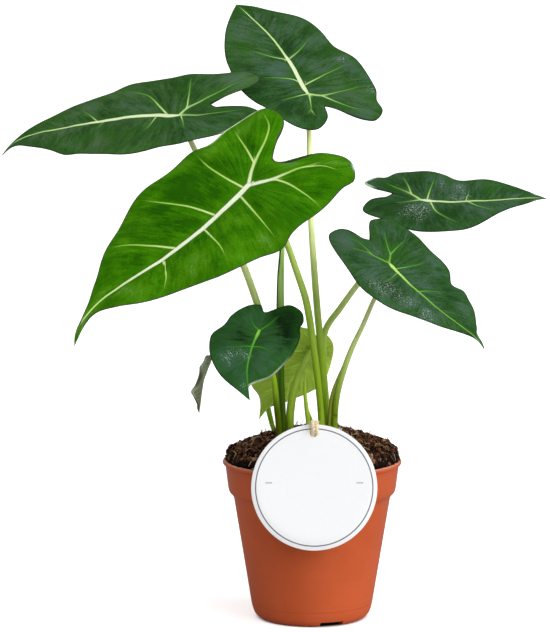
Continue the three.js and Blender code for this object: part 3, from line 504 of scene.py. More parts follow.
def ring_faces(count, sides, loop=False, flip=False):
    """The quads between rings of points. In a loop the last ring meets the first."""
    index = np.arange(count * sides).reshape(count, sides)
    index = np.concatenate([index, index[:, :1]], axis=1)
    return grid_faces(np.concatenate([index, index[:1]]) if loop else index, flip)


def tube_faces(count, sides):
    """The quads of a tube's rings, with its two ends closed."""
    ends = [list(range(sides)), list(range(count * sides - 1, (count - 1) * sides - 1, -1))]
    return ring_faces(count, sides, flip=True) + ends


def closed_body(grid, first, last, flip=False):
    """Points and faces of rings round the pot's axis, closed by a fan at each of these two heights."""
    count, sides = grid.shape[:2]
    points = np.concatenate([grid.reshape(-1, 3), [(0, 0, first), (0, 0, last)]])
    faces = ring_faces(count, sides, flip=flip)
    start, end, last_ring = count * sides, count * sides + 1, (count - 1) * sides
    for i in range(sides):
        here, there = i, (i + 1) % sides
        if flip:
            here, there = there, here
        faces.append([start, here, there])
        faces.append([end, last_ring + there, last_ring + here])
    return points, faces


# Materials

class Value:
    """A node's output, with plain arithmetic."""

    def __init__(self, paint, socket):
        self.paint = paint
        self.socket = socket

    def __add__(self, other):
        return self.paint.math("ADD", self, other)

    def __sub__(self, other):
        return self.paint.math("SUBTRACT", self, other)

    def __mul__(self, other):
        return self.paint.math("MULTIPLY", self, other)

    def __truediv__(self, other):
        return self.paint.math("DIVIDE", self, other)

    def __abs__(self):
        return self.paint.math("ABSOLUTE", self, 0.0)


def rgba(color):
    """A plain colour with its alpha, or a node's output as it is."""
    return color if isinstance(color, Value) else (*color, 1)


class Paint:
    """A material's nodes, made with short calls."""

    def __init__(self, name):
        self.material = bpy.data.materials.new(name)
        self.material.use_nodes = True
        self.tree = self.material.node_tree
        self.shader = self.tree.nodes["Principled BSDF"]

    def link(self, value, socket):
        if isinstance(value, Value):
            self.tree.links.new(value.socket, socket)
        else:
            socket.default_value = value

    def node(self, kind, sockets, output=0, **settings):
        """One output of a new node with these sockets, by name or number."""
        made = self.tree.nodes.new("ShaderNode" + kind)
        for key, value in settings.items():
            setattr(made, key, value)
        for key, value in sockets.items():
            self.link(value, made.inputs[key])
        return Value(self, made.outputs[output])

    def math(self, operation, a, b):
        return self.node("Math", {0: a, 1: b}, operation=operation)

    def most(self, first, *others):
        for other in others:
            first = self.math("MAXIMUM", first, other)
        return first

    def ramp(self, value, low, high, start=0.0, end=1.0):
        """A number that goes smoothly from start at low to end at high."""
        sockets = dict(enumerate((value, low, high, start, end)))
        return self.node("MapRange", sockets, interpolation_type="SMOOTHSTEP")

    def split(self, vector):
        """The three numbers of a vector."""
        outputs = self.node("SeparateXYZ", {0: vector}).socket.node.outputs
        return [Value(self, socket) for socket in outputs]

    def stored(self, name, output="Fac"):
        """A number that each point of the mesh keeps."""
        return self.node("Attribute", {}, output, attribute_name=name)

    def parts(self, name):
        """Three numbers that each point of the mesh keeps."""
        return self.split(self.stored(name, "Vector"))

    def vector(self, x, y, z):
        return self.node("CombineXYZ", {0: x, 1: y, 2: z})

    def place(self):
        return self.node("TexCoord", {}, "Object")

    def mix(self, share, a, b, blend="MIX"):
        sockets = {0: share, 6: rgba(a), 7: rgba(b)}
        return self.node("Mix", sockets, 2, data_type="RGBA", blend_type=blend)

    def lay(self, color, *layers):
        """The colour with others laid over it, each given as its share and itself."""
        for share, top in layers:
            color = self.mix(share, color, top)
        return color

    def tint(self, share, color, tint):
        """The colour with this share of it tinted."""
        return self.mix(share, color, self.mix(1.0, color, tint, "MULTIPLY"))

    def noise(self, vector, scale, detail=3.0, roughness=0.55):
        sockets = {"Vector": vector, "Scale": scale, "Detail": detail, "Roughness": roughness}
        return self.node("TexNoise", sockets, "Fac")

    def bump(self, height, distance, strength):
        sockets = {"Height": height, "Distance": distance * MM, "Strength": strength}
        self.link(self.node("Bump", sockets), self.shader.inputs["Normal"])

    def finish(self, color, roughness, **sockets):
        self.link(rgba(color), self.shader.inputs["Base Color"])
        self.link(roughness, self.shader.inputs["Roughness"])
        for name, value in sockets.items():
            self.link(value, self.shader.inputs[name.replace("_", " ")])
        return self.material


# The leaves' looks: the upper face from painted shade to painted light, its painted sheen and its streaks,
# the midrib where it is thick and thin, the side veins, the underside and the edge. contrast is how patchy
# the upper face is.
VELVET = dict(
    slot="velvet_leaf", dark=(0.009, 0.045, 0.004), middle=(0.023, 0.08, 0.012), light=(0.05, 0.105, 0.036),
    painted_sheen=(0.066, 0.128, 0.056), streak=(0.022, 0.11, 0.003), rib=(0.66, 0.78, 0.46),
    thin_rib=(0.44, 0.64, 0.24), vein=(0.1, 0.26, 0.035), under=(0.13, 0.23, 0.08),
    edge=(0.012, 0.013, 0.012), contrast=1.8, roughness=0.62, sheen=0.03, specular=0.08,
)
LOOKS = {
    "velvet": VELVET,
    "forest": dict(VELVET, rib=(0.42, 0.66, 0.16), thin_rib=(0.16, 0.38, 0.06), vein=(0.07, 0.2, 0.04)),
    "deep": dict(
        VELVET, dark=(0.003, 0.016, 0.002), middle=(0.027, 0.1, 0.016), light=(0.045, 0.13, 0.035),
        painted_sheen=(0.07, 0.15, 0.06), streak=(0.016, 0.12, 0.004), rib=(0.28, 0.7, 0.09),
        thin_rib=(0.08, 0.36, 0.03), vein=(0.04, 0.18, 0.03), edge=(0.012, 0.012, 0.01), contrast=1.0,
    ),
    "bright": dict(
        slot="bright_leaf", dark=(0.014, 0.09, 0.0001), middle=(0.03, 0.15, 0.0003),
        light=(0.06, 0.215, 0.0015), painted_sheen=(0.13, 0.3, 0.045), streak=(0.038, 0.185, 0.0005),
        rib=(0.78, 0.85, 0.62), thin_rib=(0.58, 0.74, 0.28), vein=(0.36, 0.6, 0.1),
        under=(0.2, 0.36, 0.08), edge=(0.05, 0.055, 0.04), contrast=1.4, roughness=0.5, sheen=0.0,
        specular=0.015,
    ),
    # The pale look is partly the hanging leaf's own paler green and partly painted light: its colours, the
    # underside most, are raised to stand for light shining through the blade
    "pale": dict(
        slot="pale_leaf", dark=(0.16, 0.32, 0.02), middle=(0.27, 0.45, 0.05), light=(0.38, 0.56, 0.1),
        painted_sheen=(0.42, 0.6, 0.14), streak=(0.26, 0.48, 0.05), rib=(0.5, 0.68, 0.24),
        thin_rib=(0.46, 0.64, 0.2), vein=(0.46, 0.64, 0.2), under=(0.5, 0.76, 0.085),
        edge=(0.4, 0.55, 0.12), contrast=1.2, roughness=0.55, sheen=0.0, specular=0.05,
    ),
    "dry": dict(
        slot="dry_leaf", dark=(0.06, 0.08, 0.03), middle=(0.17, 0.2, 0.12), light=(0.42, 0.45, 0.36),
        painted_sheen=(0.5, 0.52, 0.44), streak=(0.15, 0.19, 0.08), rib=(0.36, 0.38, 0.26),
        thin_rib=(0.3, 0.33, 0.22), vein=(0.3, 0.32, 0.22), under=(0.24, 0.27, 0.17),
        edge=(0.07, 0.08, 0.04), contrast=2.0, roughness=0.8, sheen=0.0, specular=0.1,
    ),
}
DRIED_DROPS = (0.5, 0.58, 0.56)
LIT_EDGE = (0.68, 0.8, 0.58)
PAINTED_SHEEN_TINT = (0.95, 0.92, 1.7)


def leaf_material(look_name):
    look = LOOKS[look_name]
    paint = Paint("leaf_" + look_name)
    place = paint.place()
    row, reach, face = paint.parts("row_reach_face")
    strength, margin, dust = paint.parts("line_edge_dust")
    cosine, sine, half = paint.parts("vein")
    rib_away, rib_half, rib_strength = paint.parts("rib")
    painted_light_spots, cool, lit_edge = paint.parts("painted_light_sheen_edge")

    # A side vein's distance is kept as an angle, because that stays smooth between two veins
    vein_ratio = abs(paint.math("ARCTAN2", sine, cosine)) * (VEIN_REACH / math.pi) / half
    vein = paint.ramp(vein_ratio, 0.4, 1.35, 1, 0) * strength
    rib_ratio = rib_away / rib_half
    rib = paint.ramp(rib_ratio, 0.7, 1.1, 1, 0) * rib_strength
    thick_vein = paint.ramp(half, 0.9, 1.6)
    thick_rib = paint.ramp(rib_half, 0.6, 1.2)

    # Streaks run with the side veins, and soft patches cross them
    wide = paint.noise(paint.vector(row * 8, reach * 2, face), 1, 2, 0.6)
    fine = paint.noise(paint.vector(row * 26, reach * 3.5, face), 1, 2, 0.7)
    patches = paint.noise(place, 60, 2)
    mottle = paint.noise(place, 700, 4, 0.75)
    hue = paint.noise(place, 30, 2)
    # The tone: spots of painted light and shade, with random streaks and patches added
    tone = painted_light_spots * 0.34
    for pattern, amount in ((wide, 1.0), (fine, 0.55), (patches, 0.95), (mottle, 0.8)):
        tone = tone + (pattern - 0.5) * (amount * look["contrast"])
    # The upper face's colour runs with the tone from dark, painted shade, through light to a painted sheen
    upper = paint.lay(
        look["dark"], (paint.ramp(tone, -0.4, 0), look["middle"]), (paint.ramp(tone, 0, 0.35), look["light"]),
        (paint.ramp(tone, 0.36, 0.85), look["painted_sheen"]),
    )
    streak = paint.most(paint.ramp(fine, 0.5, 0.62) * paint.ramp(patches, 0.4, 0.6) * 0.6,
                        paint.ramp(margin, 9, 2, 0, 0.35), paint.ramp(hue, 0.46, 0.32, 0, 0.4))
    upper = paint.mix(streak, upper, look["streak"])
    # Bluish patches of painted sheen, spread by the leaf's amount and a random hue
    upper = paint.tint(cool + (hue - 0.5) * 3, upper, PAINTED_SHEEN_TINT)
    near = paint.most(paint.ramp(vein_ratio, 1, 6, 0.5, 0) * strength,
                      paint.ramp(rib_ratio, 1, 4, 0.4, 0) * rib_strength)
    vein_color = paint.lay(look["vein"], (paint.stored("vein_light"), look["thin_rib"]),
                           (thick_vein, look["rib"]))
    # Painted shade: a darker band just beside the thick midrib, where the blade dips down to it
    painted_shade_by_rib = paint.ramp(rib_ratio, 1.6, 1.1) * thick_rib * 0.25
    specks = paint.ramp(paint.noise(place, 1000, 3, 0.7), 0.55, 0.61) * dust
    upper = paint.lay(
        upper, (near, look["streak"]), (vein, vein_color), (painted_shade_by_rib, look["edge"]),
        (rib, paint.mix(thick_rib, look["thin_rib"], look["rib"])), (specks * 0.8, DRIED_DROPS),
    )

    # The underside is painted lighter and darker by the same tone of painted light and shade
    shaded = [0.7 * c for c in look["under"]]
    pale = [min(1.0, 1.35 * c + 0.03) for c in look["under"]]
    under = paint.lay(shaded, (paint.ramp(tone, -0.35, 0.3), look["under"]),
                      (paint.most(vein, rib) * 0.55, pale))
    color = paint.lay(
        under, (paint.ramp(face, 0.35, 0.65), upper),
        (paint.ramp(margin, 0.35, 0.95, 1, 0) * 0.85, look["edge"]),
        (paint.ramp(margin, 0.7, 1.5, 1, 0) * lit_edge * 0.85, LIT_EDGE),
    )
    paint.bump(paint.noise(place, 1600, 2) * 0.25 + fine * 0.6, 0.2, 0.5)
    roughness = paint.ramp(patches, 0.3, 0.7, look["roughness"] - 0.06, look["roughness"] + 0.08)
    return paint.finish(
        color, roughness + specks * 0.3, Sheen_Weight=look["sheen"], Sheen_Roughness=0.45,
        Sheen_Tint=(0.75, 0.9, 0.85, 1), Specular_IOR_Level=look["specular"],
    )


def stalk_material():
    """A fleshy stalk, pale at the top, with fine lines along it and brown dashes near its foot."""
    paint = Paint("green_stalk")
    place = paint.place()
    down, around, sheath = paint.parts("down_around_sheath")
    pale, dark, brown = paint.parts("pale_dark_brown")
    lines = paint.noise(paint.vector(around * 9, down * 3, 0), 1, 4, 0.65)
    patches = paint.noise(place, 60)
    color = paint.lay((0.33, 0.54, 0.02), (dark, (0.07, 0.15, 0.0)), (brown, (0.09, 0.13, 0.001)),
                      (pale, (0.92, 0.99, 0.5)))
    color = paint.tint(paint.ramp(lines, 0.42, 0.7, 0, 0.5), color, (0.55, 0.66, 0.3))
    color = paint.tint(paint.ramp(patches, 0.45, 0.75, 0, 0.5), color, (0.75, 0.8, 0.5))
    stretched = paint.node("Mapping", {"Vector": place, "Scale": (1.0, 1.0, 0.4)})
    cells = paint.node("TexVoronoi", {"Vector": stretched, "Scale": 420}, "Distance")
    spots = paint.ramp(cells, 0.12, 0.3, 1, 0) * paint.ramp(paint.noise(place, 160), 0.46, 0.54)
    spots = spots * paint.ramp(brown, 0.1, 0.6)
    color = paint.lay(color, (spots * 0.85, (0.022, 0.013, 0.004)), (sheath * 0.75, (0.26, 0.3, 0.04)))
    paint.bump(lines, 0.2, 0.4)
    return paint.finish(color, 0.45, Specular_IOR_Level=0.1)


def spear_material():
    """The rolled leaf: green with a dark seam that winds round it."""
    paint = Paint("rolled_leaf")
    down, around, seam = paint.parts("down_around_sheath")
    lines = paint.noise(paint.vector(around * 6, down * 2.5, 0), 1, 4, 0.6)
    color = paint.lay(
        (0.3, 0.56, 0.09), (paint.ramp(lines, 0.35, 0.65), (0.6, 0.82, 0.3)),
        (paint.ramp(down, 0.2, 0.5), (0.042, 0.125, 0.001)), (paint.ramp(down, 0.6, 0.85), (0.035, 0.08, 0)),
        (paint.ramp(seam, 0.4, 0.9), (0.02, 0.05, 0.01)),
    )
    paint.bump(lines, 0.2, 0.4)
    return paint.finish(color, 0.45, Specular_IOR_Level=0.1)


def pot_material():
    """Moulded plastic in a terracotta colour, with faint rings from the mould, scuffs and dust, and a painted
    highlight along the top of the lip.
    """
    paint = Paint("terracotta_plastic")
    place = paint.place()
    x, y, z = paint.split(place)
    height = z / MM
    clouds = paint.noise(place, 22, 4)
    rings = paint.noise(paint.vector(0, 0, z), 260, 2)
    scratches = paint.noise(paint.vector(x, y, z * 7), 120, 5, 0.75)
    color = paint.lay(
        (0.52, 0.092, 0.026), (paint.ramp(clouds, 0.3, 0.7), (0.58, 0.107, 0.033)),
        (paint.ramp(rings, 0.45, 0.7, 0, 0.12), (0.4, 0.075, 0.025)),
        (paint.ramp(abs(height - FOOT_LINE), 0.2, 0.7, 0.35, 0), (0.34, 0.06, 0.02)),
        (paint.ramp(scratches, 0.62, 0.74) * paint.ramp(clouds, 0.45, 0.65, 0, 0.35), (0.66, 0.3, 0.18)),
        # A painted highlight along the lip's top edge
        (paint.ramp(height, POT_HEIGHT - 1, POT_HEIGHT - 0.2) * 0.75, (0.8, 0.4, 0.3)),
    )
    paint.bump(paint.noise(place, 700, 3, 0.6) * 0.35 + rings * 0.6, 0.12, 0.35)
    return paint.finish(color, paint.ramp(clouds, 0.3, 0.7, 0.4, 0.52), Specular_IOR_Level=0.14)


def soil_material():
    """Peat and coir: each crumb and fibre has a tone of its own."""
    paint = Paint("peat_soil")
    grain = paint.noise(paint.place(), 900, 5, 0.7)
    tone = paint.stored("tone") + (grain - 0.5) * 0.6
    color = paint.lay(
        (0.006, 0.0035, 0.0025), (paint.ramp(tone, 0, 0.35), (0.045, 0.02, 0.012)),
        (paint.ramp(tone, 0.35, 0.7), (0.24, 0.1, 0.048)), (paint.ramp(tone, 0.7, 1.1), (0.62, 0.42, 0.25)),
    )
    paint.bump(grain, 0.6, 0.8)
    return paint.finish(color, 0.95, Specular_IOR_Level=0.1)


def card_material():
    """White card with a thin grey ring and a short dash at each side."""
    paint = Paint("white_card")
    across, up, printed = paint.parts("on_card")
    radius = paint.math("SQRT", across * across + up * up, 0.0)
    ring = paint.ramp(abs(radius - TAG_RING_RADIUS), 0.25, 0.5, 1, 0)
    dash = paint.ramp(abs(abs(across) - DASH_ACROSS), 2, 2.3, 1, 0)
    dash = dash * paint.ramp(abs(up - DASH_UP), 0.15, 0.4, 1, 0)
    ink = paint.most(ring, dash * 0.85) * printed
    fibres = paint.noise(paint.place(), 500, 4, 0.7)
    color = paint.lay((0.88, 0.89, 0.9), (fibres, (0.93, 0.94, 0.95)), (ink * 0.9, (0.045, 0.05, 0.07)))
    paint.bump(fibres, 0.05, 0.4)
    return paint.finish(color, 0.55, Specular_IOR_Level=0.2)


def twine_material():
    """Natural jute."""
    paint = Paint("jute_twine")
    grain = paint.noise(paint.place(), 1500, 4, 0.7)
    color = paint.mix(paint.ramp(grain, 0.3, 0.7), (0.66, 0.52, 0.31), (0.98, 0.88, 0.66))
    paint.bump(grain, 0.25, 0.8)
    return paint.finish(color, 0.9, Specular_IOR_Level=0.1, Sheen_Weight=0.1)


# The blades

def turn_matrix(leaf):
    """The blade's turn by heading, rise of the tip and roll."""
    heading, rise, roll = (math.radians(angle) for angle in leaf["turn"])
    turned = Matrix.Rotation(heading, 3, "Z") @ Matrix.Rotation(-rise, 3, "Y") @ Matrix.Rotation(roll, 3, "X")
    return np.array(turned)


class Blade:
    """A leaf's flat outline and its bent surface, on the grid of its solid. Row 0 is at the notch, row 2
    is at the lobe's end and the last row is at the tip. Reach is 0 on the spine and 1 on the edge."""

    def __init__(self, leaf):
        self.leaf = leaf
        self.spine, _ = smooth_curve(leaf["spine"])
        notch, tip = leaf["spine"][0], leaf["spine"][-1]
        outlines = [smooth_curve([notch, *leaf[side], tip])[0] for side in ("left", "right")]
        self.edges = [(line, along_shares(line)) for line in outlines]
        along, *ends = zip(*leaf["rows"])
        self.last = len(along) + 2
        self.stops = np.arange(self.last + 1)
        self.spine_stops = np.array([notch[0], notch[0] / 2, *along, tip[0]])
        self.edge_stops = [np.array([0, end[0] / 2, *end, 1]) for end in ends]

    def surface(self, side, row, reach):
        """The flat point at a row and reach, and the height of the waved blade there."""
        leaf = self.leaf
        along = np.interp(row, self.stops, self.spine_stops)
        start = np.stack([along, np.interp(along, self.spine[:, 0], self.spine[:, 1])], axis=-1)
        share = np.interp(row, self.stops, self.edge_stops[side])
        end = point_at(*self.edges[side], share)
        length = np.linalg.norm(end - start, axis=-1)
        middle = 0.5 * (start + end)
        middle[..., 0] -= np.where(row > 3, VEIN_BOW * length, 0)
        t = reach[..., None]
        point = start * (1 - t) ** 2 + 2 * t * (1 - t) * middle + end * t**2
        away = reach * length
        fade = np.clip(np.minimum(share, 1 - share) / LEVEL_END, 0, 1)
        ripple = leaf["wave"] * fade * np.sin(2 * np.pi * leaf["waves"] * share + leaf["phases"][side])
        return point, leaf["lift"] * away - leaf["curl"] * away**2 / 100 + ripple * reach**2

    def bent(self, point, height):
        """The flat point on the arched blade, this high above its middle surface."""
        leaf = self.leaf
        along = point[..., 0]
        rate = np.radians(np.where(along < 0, leaf["lobe_arch"], leaf["arch"])) / 100
        tip_rate = math.radians(leaf["tip_arch"]) / 100
        tip_from = TIP_START * leaf["spine"][-1][0]
        straight = np.minimum(along, tip_from) * rate
        turn = straight + np.maximum(along - tip_from, 0) * tip_rate
        forward = np.sin(straight) / rate + (np.sin(turn) - np.sin(straight)) / tip_rate
        down = (1 - np.cos(straight)) / rate + (np.cos(straight) - np.cos(turn)) / tip_rate
        return np.stack([forward + np.sin(turn) * height, point[..., 1], np.cos(turn) * height - down], -1)

    def lines(self):
        """The midrib and the other veins: a route and the half width at each of its points."""
        shares, halves = zip(*self.leaf["rib"])
        spine = self.spine[self.spine[:, 0] >= 0]
        lines = [(spine, np.interp(along_shares(spine), shares, halves))]
        for root, end, points in self.leaf["veins"]:
            line, _ = smooth_curve(points, steps=12)
            lines.append((line, end + (root - end) * (1 - along_shares(line))))
        return lines


def nearest_on(line, points):
    """How far each point is from a line, below 0 on its right, and the share of the line's length
    at the nearest place."""
    start, step = line[:-1], np.diff(line, axis=0)
    offset = points[:, None] - start
    t = np.clip((offset * step).sum(-1) / (step * step).sum(-1), 0, 1)
    gap = offset - t[..., None] * step
    away = np.linalg.norm(gap, axis=-1)
    best = away.argmin(axis=1)
    pick = np.arange(len(points))
    cross = step[best, 0] * gap[pick, best, 1] - step[best, 1] * gap[pick, best, 0]
    shares = along_shares(line)
    share = shares[best] + t[pick, best] * (shares[best + 1] - shares[best])
    return np.where(cross < 0, -1, 1) * away[pick, best], share


def blots(spots, points):
    """Soft spots of [along, across, radius, amount], added up."""
    total = np.zeros(len(points))
    for along, across, radius, amount in spots:
        squared = (points[:, 0] - along) ** 2 + (points[:, 1] - across) ** 2
        total += amount * np.exp(-squared / radius**2)
    return total


def unevenness(points):
    """Slow ups and downs over the flat blade, from -1 to 1."""
    x, y = points.T
    return 0.5 * np.sin(0.21 * x + 0.13 * y + 1) + 0.3 * np.sin(0.37 * y - 0.29 * x) + 0.2 * np.sin(0.55 * x)


def blade_facts(blade, side, points):
    """What the material needs at each flat point: the midrib, the nearest side vein, the edge and the
    patches of painted light, shade and sheen. With it come the relief of the veins and the swelling between
    them."""
    leaf = blade.leaf
    nothing = np.zeros(len(points))
    nearest, half = nothing + 1e3, nothing + 1
    strength = light = ridge = hollow = nothing
    for number, (line, widths) in enumerate(blade.lines()):
        away, share = nearest_on(line, points)
        here = np.interp(share, along_shares(line), widths)
        visible = 1 - smoothstep(0.85 if number == 0 else 0.6, 1.0, share)
        ridge = np.maximum(ridge, visible * here * np.exp(-((away / (1.2 * here)) ** 2)))
        hollow = 1 - (1 - hollow) * (1 - (0.4 + 0.6 * visible) * np.exp(-((away / RELIEF_REACH) ** 2)))
        if number == 0:
            rib = [np.abs(away), here, visible]
            continue
        closer = np.abs(away) - here < np.abs(nearest) - half
        nearest = np.where(closer, away, nearest)
        half = np.where(closer, here, half)
        strength = np.where(closer, visible, strength)
        light = np.where(closer, 1 - smoothstep(0.0, 0.6, share), light)
    margin = np.abs(nearest_on(blade.edges[side][0], points)[0])
    tip = leaf["spine"][-1][0]
    past_tip = 1.5 * smoothstep(0.88 * tip, 0.96 * tip, points[:, 0])
    swing = np.pi * np.clip(nearest / VEIN_REACH, -1, 1)
    swell = leaf["puff"] * (1 - hollow) * smoothstep(0, 8, margin) + 0.3 * unevenness(points)
    lit = np.clip(blots(leaf["pale_edge"], points), 0, 1)
    dust = np.clip(blots(leaf["dust"], points), 0, 1)
    # Spots of painted light and shade, how far the painted bluish sheen spreads, and the edge's painted
    # highlights
    triples = dict(
        vein=[np.cos(swing), np.sin(swing), half], rib=rib,
        line_edge_dust=[strength, margin + past_tip, dust],
        painted_light_sheen_edge=[blots(leaf["tones"], points), nothing + leaf["cool"], lit],
    )
    facts = {name: np.stack(values, axis=-1) for name, values in triples.items()}
    return {**facts, "vein_light": light}, ridge, swell


def blade_piece(leaf, material):
    blade = Blade(leaf)
    rows = np.linspace(0, blade.last, blade.last * ROWS_BETWEEN_STOPS + 1)
    reaches = np.append(np.linspace(0, 0.975, COLUMNS - 1), [0.99, 1.0])
    row, reach = np.meshgrid(rows, reaches, indexing="ij")
    points = []
    facts = []
    faces = []
    grids = {}
    for side in (0, 1):
        flat, middle = blade.surface(side, row, reach)
        known, ridge, swell = blade_facts(blade, side, flat.reshape(-1, 2))
        ridge, swell = ridge.reshape(row.shape), swell.reshape(row.shape)
        middle = middle + swell * (1 - reach**4)
        thick = BLADE_THICKNESS * (1 - 0.5 * smoothstep(0.975, 1, reach))
        for face, height in ((1, middle + thick / 2 - 0.18 * ridge), (0, middle - thick / 2 - 0.7 * ridge)):
            index = np.arange(row.size).reshape(row.shape) + row.size * len(points)
            index[0, :] = index[0, 0]
            index[-1, :] = index[-1, 0]
            if side == 1:
                index[:, 0] = grids[0, face][:, 0]
                index[0, :] = grids[0, face][0, 0]
                index[-1, :] = grids[0, face][-1, 0]
            grids[side, face] = index
            points.append(blade.bent(flat, height).reshape(-1, 3))
            place = np.stack([row, reach, np.full(row.shape, float(face))], axis=-1)
            facts.append({**known, "row_reach_face": place.reshape(-1, 3)})
            faces += grid_faces(index, flip=(side == 1) != (face == 0))
        rim = np.stack([grids[side, 1][:, -1], grids[side, 0][:, -1]], axis=1)
        faces += grid_faces(rim, flip=side == 1)
    points = np.concatenate(points) @ turn_matrix(leaf).T + np.array(leaf["joint"], float)

    # Points that no face uses are dropped
    used = np.unique([p for f in faces for p in f])
    renamed = np.full(len(points), -1)
    renamed[used] = np.arange(len(used))
    faces = [[int(renamed[p]) for p in f] for f in faces]
    piece = new_object("leaf_" + leaf["name"], points[used], faces, material)
    for name in facts[0]:
        set_attribute(piece, name, np.concatenate([fact[name] for fact in facts])[used])
    mark_sharp(piece, 70)
    dress(piece, "blade_" + leaf["name"])


# The stalks

def tube(points, sides=20, steps=10, shape=None):
    """A round stem through [x, y, z, radius] points: a grid of points, with how far down the stem and how
    far round it they are. shape gives a share of the radius for these two."""
    points = np.asarray(points, float)
    line, places = smooth_curve(points[:, :3], steps=steps)
    radii = np.interp(places, np.arange(len(points)), points[:, 3])
    down = along_shares(line)[:, None]
    around = (np.arange(sides) / sides)[None, :]
    share = np.ones((len(line), sides)) if shape is None else shape(down, around)
    return rings_round(line, (radii[:, None] * share)[..., None], circle(sides)), down, around


def stalk_points(leaf):
    """The stalk's route, from its blade's joint down to its foot in the soil."""
    turn = turn_matrix(leaf)
    hangs = leaf.get("hangs", False)
    outward = turn @ (np.array([-1.0, 0, 0]) if hangs else -UP)
    blade_end = -leaf["spine"][0][0] if hangs else CAD_BLADE_THICKNESS / 2
    joint = np.array(leaf["joint"], float)
    radius = leaf["stalk"][0][3]
    top = joint + outward * (blade_end - 1.0 if hangs else 0.1)
    neck = joint + outward * (blade_end + STALK_REACH)
    x, y, z, foot = leaf["stalk"][-1]
    return [
        (*top, 1.15 * radius), (*neck, radius), *leaf["stalk"],
        (x, y, 0.5 * (z + STEM_FOOT), foot), (x, y, STEM_FOOT, foot),
    ]


def grooved(down, around):
    """A shallow groove down one side of a stalk, which is a little fuller than its solid where it stands
    free."""
    fuller = 1.13 - 0.13 * smoothstep(0.45, 0.75, down)
    return fuller * (1 - 0.1 * np.exp(-(((around - 0.5) / 0.09) ** 2)))


def sheath_grid(points, start, width, direction):
    """A thin sheath that stands out from a stem below this share of its length, wider towards its foot,
    with how far down the stem each of its rows is."""
    points = np.asarray(points, float)
    line, places = smooth_curve(points[:, :3], steps=10)
    down = along_shares(line)
    rows = down > start
    line, down = line[rows], down[rows]
    radii = np.interp(places[rows], np.arange(len(points)), points[:, 3])
    tangents = unit(np.gradient(line, axis=0))
    out = unit(direction - tangents * (tangents @ np.array(direction))[:, None])
    front = np.cross(out, tangents)
    reach = width * smoothstep(start, start + 0.18, down)
    columns = []
    for share, level in ((0.0, 0.35), (0.6, 0.25), (1.0, 0.06), (0.6, -0.25), (0.0, -0.35)):
        away = 0.7 * radii + share * (0.3 * radii + reach)
        columns.append(line + away[:, None] * out + level * front)
    return np.stack(columns, axis=1), down


def stalk_piece(name, points, material, node, stem=(0, 0, 0), shape=grooved, seam=None, sheath=None):
    """A stem and the sheath at its foot, if it has one. stem is how pale it is at the top, and how dark and
    how brown at the foot."""
    grid, down, around = tube(points, shape=shape)
    facts = np.zeros(grid.shape)
    facts[..., 0] = down
    facts[..., 1] = np.minimum(around, 1 - around) * 2
    if seam is not None:
        facts[..., 2] = seam(down, around)
    parts = [(grid, facts)]
    if sheath is not None:
        grid, down = sheath_grid(points, *sheath)
        facts = np.zeros(grid.shape)
        facts[..., 0] = down[:, None]
        facts[..., 1] = (0.2, 0.6, 1.0, 0.6, 0.2)
        facts[..., 2] = (0.4, 1.0, 1.0, 1.0, 0.4)
        parts.append((grid, facts))
    heap = Heap()
    for grid, _ in parts:
        heap.add(grid, tube_faces(*grid.shape[:2]))
    piece = new_object(name, np.concatenate(heap.points), heap.faces, material)
    facts = np.concatenate([facts.reshape(-1, 3) for _, facts in parts])
    set_attribute(piece, "down_around_sheath", facts)
    pale, dark, brown = stem
    down = facts[:, 0]
    shades = [pale * (1 - smoothstep(0.1, 0.75, down)), dark * smoothstep(0.35, 0.7, down),
              brown * smoothstep(0.45, 0.8, down)]
    set_attribute(piece, "pale_dark_brown", np.stack(shades, axis=-1))
    dress(piece, node)


def rolled(down, around):
    """The rolled leaf's section: its outer edge stands a little proud and winds round the roll."""
    phase = (around - 0.35 * down - 0.3) % 1
    return 0.96 + 0.1 * np.clip(1 - phase / 0.7, 0, 1) * (1 - smoothstep(0.55, 0.75, down))


def rolled_seam(down, around):
    """1 in the rolled leaf's seam."""
    phase = (around - 0.35 * down - 0.3 + 0.5) % 1 - 0.5
    return np.exp(-((phase / 0.06) ** 2)) * (1 - smoothstep(0.5, 0.7, down))


# The pot

def rounded(profile, radius):
    """The same profile with each corner rounded a little."""
    profile = np.array(profile, float)
    result = [profile[0]]
    for before, corner, after in zip(profile, profile[1:], profile[2:]):
        to_before, to_after = before - corner, after - corner
        reach = min(radius, 0.4 * np.linalg.norm(to_before), 0.4 * np.linalg.norm(to_after))
        a = corner + unit(to_before) * reach
        b = corner + unit(to_after) * reach
        for t in (0, 0.33, 0.67, 1):
            result.append(a * (1 - t) ** 2 + 2 * t * (1 - t) * corner + b * t**2)
    return [*result, profile[-1]]


def cutter(name, points, faces, away, turn):
    """A body to cut the pot with, this far from the pot's axis and turned round it, in degrees."""
    turned = np.array(Matrix.Rotation(math.radians(turn), 3, "Z"))
    return link(name, new_mesh(name, (points + np.array([0, -away, 0])) @ turned.T, faces))


def notch_cutters():
    corners = [(x, y, z) for z in (-0.5, 0.5) for y in (-0.5, 0.5) for x in (-0.5, 0.5)]
    faces = [(0, 2, 3, 1), (4, 5, 7, 6), (0, 1, 5, 4), (2, 6, 7, 3), (0, 4, 6, 2), (1, 3, 7, 5)]
    return [
        cutter(f"notch_{i}", np.array(corners) * NOTCH_SIZE, faces, FOOT_RADIUS + 3,
               NOTCH_TURN + 360 * i / NOTCHES)
        for i in range(NOTCHES)
    ]


